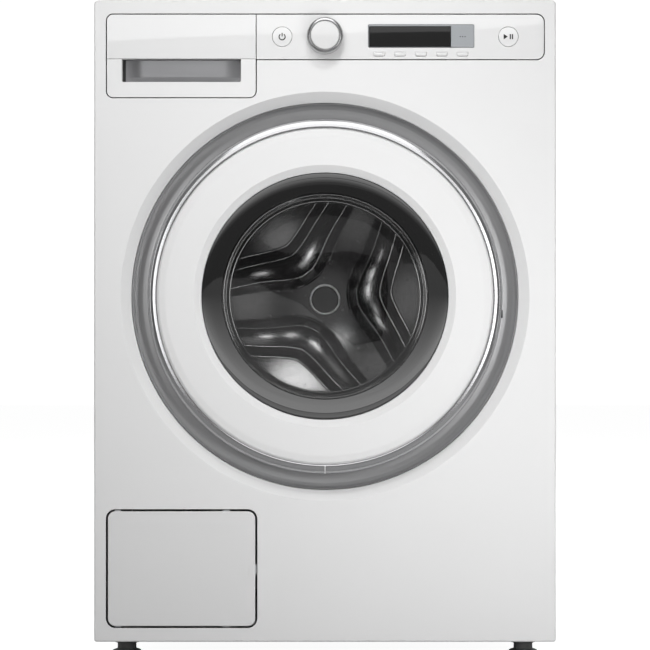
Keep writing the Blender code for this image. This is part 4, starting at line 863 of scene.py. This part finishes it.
# Half of one vee in its own frame: for steps of 10 mm sideways, the four long edges' distance from the drum's axis.
INNER_BASE = (34.0, 34.6, 36.6, 40.4, 45.6, 51.7, 57.9, 63.9, 69.5, 74.9, 80.2, 85.4, 90.4, 95.2, 99.8, 104.3, 108.7, 113.0)
INNER_TOP = (46.8, 47.6, 51.0, 56.4, 62.4, 68.4, 73.9, 78.7, 83.0, 87.1, 91.1, 95.1, 99.1, 103.0, 106.9, 110.7, 114.5, 118.3)
OUTER_TOP = (79.6, 81.4, 84.7, 88.7, 93.1, 97.5, 101.7, 105.6, 109.4, 113.1, 116.8, 120.5, 124.2, 127.9, 131.6, 135.3, 139.0, 142.7)
OUTER_BASE = (97.0, 98.9, 102.1, 105.8, 110.0, 114.2, 118.1, 121.8, 125.5, 129.2, 132.9, 136.6, 140.3, 144.0, 147.7, 151.4, 155.1, 158.8)


def along_curve(values, y):
    """Smooth even curve through the values, which stand 10 mm apart."""
    t = abs(y) / 10.0
    i = min(int(t), len(values) - 2)
    f = t - i
    v = lambda j: values[abs(j)] if abs(j) < len(values) else values[-1] + (values[-1] - values[-2]) * (j - len(values) + 1)
    a, b, c, e = v(i - 1), v(i), v(i + 1), v(i + 2)
    return b + 0.5 * f * (c - a + f * (2 * a - 5 * b + 4 * c - e + f * (3 * (b - c) + e - a)))


def vee_ridge(name, turn_deg):
    """One pressed vee in the drum's back: a flat-topped ridge with rolled edges, wide at the elbow and narrower along its arms."""
    turn = math.radians(turn_deg)
    bm = bmesh.new()
    rows = []
    count = 112
    for i in range(count + 1):
        y = 158.0 * (2.0 * i / count - 1.0)
        ib, it, ot, ob = (along_curve(c, y) for c in (INNER_BASE, INNER_TOP, OUTER_TOP, OUTER_BASE))
        mid = (it + ot) / 2
        sec = fillet([(ib - 3.4, 392.35), (ib, 391.9, 4.5), (it, 371.9, 4.2), (mid - 3.0, 371.1), (mid + 3.0, 371.1), (ot, 371.9, 4.2), (ob, 391.9, 4.5), (ob + 3.4, 392.35)], False, 8, holding=False)
        row = []
        for x, d in sec:
            taper = max(0.0, min(1.0, (208.0 - math.hypot(x, y)) / 26.0))
            dd = 392.4 - (392.4 - d) * taper * taper * (3 - 2 * taper)
            row.append(bm.verts.new(P(x * math.cos(turn) - y * math.sin(turn), dd, DOOR_Z + x * math.sin(turn) + y * math.cos(turn))))
        rows.append(row)
    rows_to_faces(bm, rows, around=False)
    o = finish_mesh(name, bm, DRUM_BACK, "drum", smooth=60)
    use_slot(o)


for k_ in range(3):
    vee_ridge(f"drum_vee_{k_ + 1}", 5.4 + 120 * k_)

# =========================================================================== suspension springs
def coil_spring(name, x, d, z0, z1, radius, wire, turns, steps=24, sides=10):
    """A coil of round wire along z, standing in for the modelled suspension spring."""
    total = turns * steps
    centres = []
    for i in range(total + 1):
        t = 2 * math.pi * i / steps
        centres.append(Vector((x + radius * math.cos(t), d + radius * math.sin(t), z0 + wire + (z1 - z0 - 2 * wire) * i / total)))
    bm = bmesh.new()
    rows = []
    for i, c in enumerate(centres):
        ahead = (centres[min(i + 1, total)] - centres[max(i - 1, 0)]).normalized()
        out = Vector((c.x - x, c.y - d, 0)).normalized()
        up = ahead.cross(out).normalized()
        ring = [c + out * wire * math.cos(2 * math.pi * k / sides) + up * wire * math.sin(2 * math.pi * k / sides) for k in range(sides)]
        rows.append([bm.verts.new(P(*q)) for q in ring])
    rows_to_faces(bm, rows, True, False)
    bm.faces.new(rows[0])
    bm.faces.new(rows[-1])
    o = finish_mesh(name, bm, STEEL, None, name.replace("coil_", "suspension_spring_"), smooth=60)
    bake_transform(o)
    return o


coil_spring("coil_left", -272.0, 330.0, 641.0, 820.4, 13.0, 1.9, 6)
coil_spring("coil_right", 272.0, 330.0, 641.0, 820.4, 13.0, 1.9, 6)

# =========================================================================== materials of the pieces that stay as modelled
KEEP = {
    "base_tray": GALVANISED, "control_board": BOARD, "dispenser_housing": GREY_PLASTIC, "drawer_tray": LIGHT_PLASTIC, "inlet_valve": LIGHT_PLASTIC,
    "mains_inlet": DARK_PLASTIC, "pump_housing": GREY_PLASTIC, "door_lock": DARK_PLASTIC, "door_hinge_bracket": ZINC,
    "door_hinge_leaf": ZINC, "latch_hook": ZINC, "tub_front": LIGHT_PLASTIC, "tub_rear": LIGHT_PLASTIC, "tub_cradle": ZINC, "motor": CAST_ALU,
    "motor_pulley": STEEL, "drive_belt": RUBBER, "counterweight": CONCRETE, "drum_pulley": CAST_ALU,
}
for corner in ("front_left", "front_right", "rear_left", "rear_right"):
    KEEP[f"damper_body_{corner}"] = DARK_PLASTIC
for node, mat in KEEP.items():
    o = NODES[node]
    for s_ in o.material_slots:
        s_.material = mat
    if not o.material_slots:
        o.data.materials.append(mat)

# =========================================================================== floor, light, camera
bm = bmesh.new()
for x, y in ((-9, -9), (9, -9), (9, 9), (-9, 9)):
    bm.verts.new((x, y, -0.0004))
bm.faces.new(bm.verts)
paper, nt, b_, out_ = nodes_of("studio_floor_paper")
b_.inputs["Roughness"].default_value = 0.9
b_.inputs["Specular IOR Level"].default_value = 0.1
at_ = nt.nodes.new("ShaderNodeTexCoord").outputs["Object"]
nt.links.new(blend_colours(nt, noise(nt, at_, 0.6, 3.0), (0.42, 0.42, 0.42), (0.45, 0.45, 0.45)), b_.inputs["Base Color"])
lift = nt.nodes.new("ShaderNodeEmission")
lift.name = "lift"
lift.inputs["Strength"].default_value = 0.8
seen_by = nt.nodes.new("ShaderNodeLightPath")
nt.links.new(math_node(nt, "MULTIPLY", seen_by.outputs["Is Camera Ray"], 0.95), lift.inputs["Strength"])
both = nt.nodes.new("ShaderNodeAddShader")
nt.links.new(b_.outputs[0], both.inputs[0])
nt.links.new(lift.outputs[0], both.inputs[1])
nt.links.new(both.outputs[0], out_.inputs["Surface"])
floor = finish_mesh("studio_floor", bm, paper, None)

world = bpy.data.worlds.new("studio")
scene.world = world
world.use_nodes = True
nt = world.node_tree
for n_ in list(nt.nodes):
    nt.nodes.remove(n_)
out = nt.nodes.new("ShaderNodeOutputWorld")
path_node = nt.nodes.new("ShaderNodeLightPath")
seen = nt.nodes.new("ShaderNodeBackground")
seen.inputs["Color"].default_value = (1, 1, 1, 1)
seen.inputs["Strength"].default_value = 1.05
ambient = nt.nodes.new("ShaderNodeBackground")
gen = nt.nodes.new("ShaderNodeTexCoord")
sepw = nt.nodes.new("ShaderNodeSeparateXYZ")
nt.links.new(gen.outputs["Generated"], sepw.inputs[0])
up = remap(nt, sepw.outputs["Z"], 0.14, 0.34, -0.1, 0.9)
# reflections see the room brighter than the even fill that falls on the surfaces
share = remap(nt, path_node.outputs["Is Glossy Ray"], 0.3, 1.0, 0.0, 1.0)
nt.links.new(math_node(nt, "MULTIPLY", up, share), ambient.inputs["Strength"])
mixw = nt.nodes.new("ShaderNodeMixShader")
nt.links.new(path_node.outputs["Is Camera Ray"], mixw.inputs[0])
nt.links.new(ambient.outputs[0], mixw.inputs[1])
nt.links.new(seen.outputs[0], mixw.inputs[2])
nt.links.new(mixw.outputs[0], out.inputs[0])


def area(name, at, aim, size, power, shape="RECTANGLE", spread=math.pi, glossy=True, diffuse=True):
    light = bpy.data.lights.new(name, "AREA")
    light.shape = shape
    light.size, light.size_y = size
    light.energy = power
    light.spread = spread
    o = bpy.data.objects.new(name, light)
    scene.collection.objects.link(o)
    o.location = at
    o.rotation_euler = (Vector(aim) - Vector(at)).to_track_quat("-Z", "Y").to_euler()
    o.visible_camera = False
    o.visible_glossy = glossy
    o.visible_diffuse = diffuse
    return o


def only_on(light, names, label, shadows=True):
    """Lets a light fall on the named pieces alone; without shadows, nothing else stands in its way either."""
    coll = bpy.data.collections.get(label) or bpy.data.collections.new(label)
    for n in names:
        o = bpy.data.objects[n]
        if o.name not in coll.objects:
            coll.objects.link(o)
    light.light_linking.receiver_collection = coll
    if not shadows:
        light.light_linking.blocker_collection = coll


area("key_softbox", (-0.3, -1.2, 1.3), (-0.1, -0.28, 0.6), (0.6, 0.5), 4.6, glossy=False)
area("high_softbox", (0.05, -1.1, 1.7), (0.0, -0.28, 0.5), (0.2, 0.18), 4.4, glossy=False)
area("middle_softbox", (-0.1, -1.6, 0.75), (-0.05, -0.28, 0.6), (0.6, 0.5), 2.5, glossy=False)
area("centre_softbox", (0.1, -1.0, 0.6), (0.1, -0.28, 0.55), (0.5, 0.4), 1.0, glossy=False)
area("low_softbox", (0.42, -1.0, 0.3), (0.2, -0.28, 0.3), (0.5, 0.4), 2.4, glossy=False)
area("left_fill", (-3.0, 1.9, 1.3), (0, 0.1, 0.45), (2.0, 1.6), 62, glossy=False)
area("right_fill", (3.0, 1.9, 1.3), (0, 0.1, 0.45), (2.0, 1.6), 56, glossy=False)
area("top_fill", (0.2, 1.5, 3.2), (0, 0.1, 0.85), (2.4, 1.6), 22, glossy=False)
area("back_fill", (0.6, 3.2, 1.9), (0, 0.2, 0.4), (2.4, 1.6), 30)

# soft boxes that only the metal trim mirrors
METALS = ["knob_body", "display_bezel"]


def panel_light(name, at, aim, size, glow, names, label):
    """A soft box of even glow that only the named pieces mirror."""
    only_on(area(name, at, aim, size, glow * math.pi * size[0] * size[1], diffuse=False), names, label)


for tag, at, size, glow in (("top", (0.0, -1.7, 1.5), (1.6, 0.7), 0.95), ("left", (-1.3, -1.9, 0.55), (0.6, 1.2), 0.9), ("right", (1.2, -1.9, 0.5), (0.7, 1.2), 1.2), ("low", (0.0, -2.2, 0.12), (1.6, 0.3), 0.1)):
    panel_light(f"metal_{tag}", at, (0, -0.28, 0.47), size, glow, METALS, "small_metal_only")
panel_light("knob_top", (0.0, -0.9, 1.9), (0, -0.30, 0.8), (1.2, 1.0), 2.2, ["knob_body"], "knob_metal_only")
panel_light("knob_front", (0.1, -2.3, 1.3), (0, -0.30, 0.8), (1.2, 0.8), 0.9, ["knob_body"], "knob_metal_only")
for tag, at, size, glow in (("front", (0.1, -2.6, 0.75), (1.2, 0.7), 0.06), ("left", (-1.25, -2.1, 0.95), (0.9, 0.9), 4.9), ("right", (1.35, -2.1, 0.5), (0.9, 1.1), 7.1), ("top", (0.0, -1.6, 1.9), (1.6, 1.0), 0.35)):
    panel_light(f"ring_{tag}", at, (0, -0.28, 0.47), size, glow, ["surround_ring"], "ring_metal_only")
for tag, at, aim, size, glow in (("above", (0.0, -1.0, 1.95), (0, -0.29, 0.69), (1.8, 1.9), 1.95), ("front_high", (0.0, -2.3, 1.3), (0, -0.29, 0.69), (1.4, 0.6), 1.7), ("front_left", (-1.0, -2.1, 0.6), (-0.22, -0.29, 0.47), (0.7, 1.1), 2.8),
                                 ("front_right", (1.05, -2.0, 0.5), (0.22, -0.29, 0.47), (0.9, 1.2), 3.7), ("side_left", (-2.0, -0.62, 0.7), (-0.22, -0.29, 0.47), (0.5, 1.2), 1.9), ("side_right", (2.0, -0.62, 0.5), (0.22, -0.29, 0.47), (0.5, 1.2), 1.7)):
    panel_light(f"trim_{tag}", at, aim, size, glow, ["door_rim"], "trim_metal_only")
panel_light("grip_front", (-0.2, -2.3, 0.22), (-0.14, -0.27, 0.76), (1.3, 1.1), 1.25, ["handle_plate"], "grip_metal_only")

# small lamps in front of the drum's back: each makes a soft spot on the pressed steel
DRUM_BACK_PIECES = ["drum_back_plate", "drum_vee_1", "drum_vee_2", "drum_vee_3", "hub_ring", "hub_cap"]


def drum_spot(k, x, z, gap, radius, glow, surface_d=371.0):
    """A round lamp placed so that its mirror image, seen from the front, sits at (x, z) on the steel."""
    glow *= 0.66 if surface_d > 380 else 0.42
    far = 2900.0 + surface_d
    m_ = 1 + gap / far
    at = P(x * m_, surface_d - gap, 431.45 + (z - 431.45) * m_)
    light = area(f"drum_lamp_{k}", at, at + Vector((0, 1, 0)), (2 * radius * MM, 2 * radius * MM), glow * math.pi * math.pi * (radius * MM) ** 2, shape="DISK", diffuse=False, spread=math.radians(100 if surface_d > 380 else 70))
    if surface_d > 380:
        only_on(light, ["drum_back_plate", "hub_ring", "hub_cap"], "drum_plate_metal")
    else:
        only_on(light, ["drum_vee_1", "drum_vee_2", "drum_vee_3"], "drum_vee_metal")


for k_, spot in enumerate(((-18.6, 533.7, 110, 9, 3.4), (-26.0, 518.0, 110, 8, 1.4), (-91.8, 503.1, 110, 9, 1.8), (80.6, 531.4, 110, 6, 2.2), (64.1, 505.4, 110, 9, 2.6), (61.7, 480.7, 110, 9, 3.0),
                           (78.3, 455.9, 110, 6, 1.8), (77.0, 433.3, 110, 8, 2.4), (-84.7, 418.1, 110, 9, 2.4), (-49.4, 420.4, 110, 10, 1.8), (-13.9, 401.5, 110, 9, 3.4),
                           (24.1, 413.2, 130, 12, 2.2, 392.0), (-42.0, 346.0, 150, 40, 3.0, 392.0), (20.0, 352.0, 150, 26, 0.6, 392.0), (126.0, 468.0, 190, 40, 0.30, 392.0), (-62.0, 556.0, 170, 30, 0.5, 392.0), (0.0, 468.0, 190, 50, 0.22, 392.0),
                           (-112.0, 468.0, 190, 38, 0.35, 392.0), (45.0, 580.0, 190, 36, 0.20, 392.0), (88.0, 372.0, 190, 36, 0.30, 392.0), (-100.0, 390.0, 190, 24, 0.25), (20.0, 372.0, 190, 24, 0.3))):
    drum_spot(k_ + 1, *spot)
# a thin ring of light round the drum's wall, which draws the bright lines along the pressed edges
for k_ in range(24):
    t = math.radians(15 * k_ + 7.5)
    at = P(226 * math.cos(t), 330, DOOR_Z + 226 * math.sin(t))
    strip = area(f"drum_strip_{k_ + 1}", at, P(0, 330, DOOR_Z), (0.0595, 0.05), (3.9 + 1.6 * math.cos(t + 0.9)) * math.pi * 0.0595 * 0.05, diffuse=False)
    only_on(strip, ["drum_vee_1", "drum_vee_2", "drum_vee_3"], "drum_vee_metal")


def card(name, points, low, high, z0, z1):
    """A glowing studio card in front of the machine that only reflections see. Its glow runs from low at z0 to high at z1."""
    bm = bmesh.new()
    for x, y, z in points:
        bm.verts.new((x, y, z))
    bm.faces.new(bm.verts)
    m, nt_, b, out_ = nodes_of(name + "_glow")
    nt_.nodes.remove(b)
    e = nt_.nodes.new("ShaderNodeEmission")
    geo = nt_.nodes.new("ShaderNodeNewGeometry")
    sp = nt_.nodes.new("ShaderNodeSeparateXYZ")
    nt_.links.new(geo.outputs["Position"], sp.inputs[0])
    nt_.links.new(remap(nt_, sp.outputs["Z"], low, high, z0, z1), e.inputs["Strength"])
    clear = nt_.nodes.new("ShaderNodeBsdfTransparent")
    add = nt_.nodes.new("ShaderNodeAddShader")
    nt_.links.new(e.outputs[0], add.inputs[0])
    nt_.links.new(clear.outputs[0], add.inputs[1])
    nt_.links.new(add.outputs[0], out_.inputs["Surface"])
    o = finish_mesh(name, bm, m, None, flat=True)
    o.visible_camera = o.visible_shadow = o.visible_diffuse = o.visible_transmission = o.visible_volume_scatter = False
    return o


only_on(area("hub_glint", P(0, 250, DOOR_Z + 60), P(0, 387, DOOR_Z), (0.12, 0.12), 3.2 * math.pi * 0.0144), ["hub_ring"], "hub_ring_only", shadows=False)
for tag, at, size, glow in (("left", (-1.3, -1.0, 0.45), (1.2, 1.2), 5.0), ("right", (1.3, -1.0, 0.5), (1.2, 1.2), 4.0), ("low", (0.2, -1.1, 0.05), (1.4, 0.6), 3.0), ("high", (0.0, -1.3, 1.6), (1.4, 0.6), 1.0)):
    only_on(area(f"bead_{tag}", at, (0, -0.29, 0.47), size, glow * math.pi * size[0] * size[1], diffuse=False), ["bowl_bead_1", "bowl_bead_2", "bowl_bead_3"], "beads_only", shadows=False)

CARD_Y = -2.2825
GLOSSY = ["fascia", "drawer_fascia", "display_pane", "display_bezel", "power_button_cap", "start_button_cap", "knob_face"]
BEADS = ["bowl_bead_1", "bowl_bead_2", "bowl_bead_3"]


def seen_at(*points):
    """Card corners from the places (u, v), in the picture's 650 steps, where the door's flat glass mirrors them."""
    return [((u - 325.0) * 0.0021701, CARD_Y, 0.43145 + (325.0 - v) * 0.0021701) for u, v in points]


upper = card("upper_card", [(-2.4, CARD_Y, 1.00), (-0.475, CARD_Y, 1.051), (-0.149, CARD_Y, 1.0646), (0.27, CARD_Y, 1.070), (0.475, CARD_Y, 1.0866), (2.4, CARD_Y, 1.14),
                            (2.4, CARD_Y, 2.4), (-2.4, CARD_Y, 2.4)], 1.0, 2.0, 1.0, 2.2)
low_band = card("low_band_card", seen_at((-780, 512), (1430, 512), (1430, 251), (400, 251), (320, 340), (222, 276), (-780, 272)), 1.6, 0.19, 0.22, 0.50)
low_glass = card("low_glass_card", [(x_, y_ + 0.01, z_) for x_, y_, z_ in seen_at((-780, 512), (1430, 512), (1430, 251), (402, 251), (396, 352), (358, 352), (300, 304), (222, 272), (-780, 262))], 0.7, 0.55, 0.22, 0.50)
mid_glass = card("mid_glass_card", seen_at((238, 218), (253, 232), (280, 248), (300, 254), (350, 250), (432, 250), (420, 225), (380, 196), (325, 186), (270, 198)), 0.42, 0.42, 0.5, 0.8)
only_on(low_glass, ["outer_glass"], "window_glass_only")
only_on(mid_glass, ["outer_glass"], "window_glass_only")
only_on(low_band, ["glass_band"] + GLOSSY + BEADS, "lower_gloss")
only_on(upper, ["glass_band"] + GLOSSY + BEADS, "upper_gloss")
# steps of light that the band's rolled rim mirrors at its top and bottom
for k_, (z_, h_, glow) in enumerate(((0.83, 0.06, 0.12), (0.89, 0.06, 0.32), (0.95, 0.06, 0.6), (1.01, 0.06, 0.9))):
    only_on(area(f"rim_step_{k_ + 1}", (0, CARD_Y + 0.02, z_), (0, 0, z_), (2.6, h_), glow * math.pi * 2.6 * h_, diffuse=False), ["glass_band"], "band_only")
only_on(area("rim_floor", (0, -1.75, 0.004), (0, -1.75, 1.0), (3.0, 1.1), 0.8 * math.pi * 3.3, diffuse=False), ["glass_band"], "band_only")

cam_data = bpy.data.cameras.new("camera")
cam = bpy.data.objects.new("camera", cam_data)
scene.collection.objects.link(cam)
CAM_DIST = 2.9
cam_data.sensor_width = 36.0
cam_data.lens = 36.0 * CAM_DIST / 0.8371
cam_data.clip_start, cam_data.clip_end = 0.05, 60
cam.location = (0.0, Y_FRONT * MM - CAM_DIST, 0.43145)
cam.rotation_euler = (math.pi / 2, 0, 0)
scene.camera = cam
scene.view_settings.view_transform = "Standard"
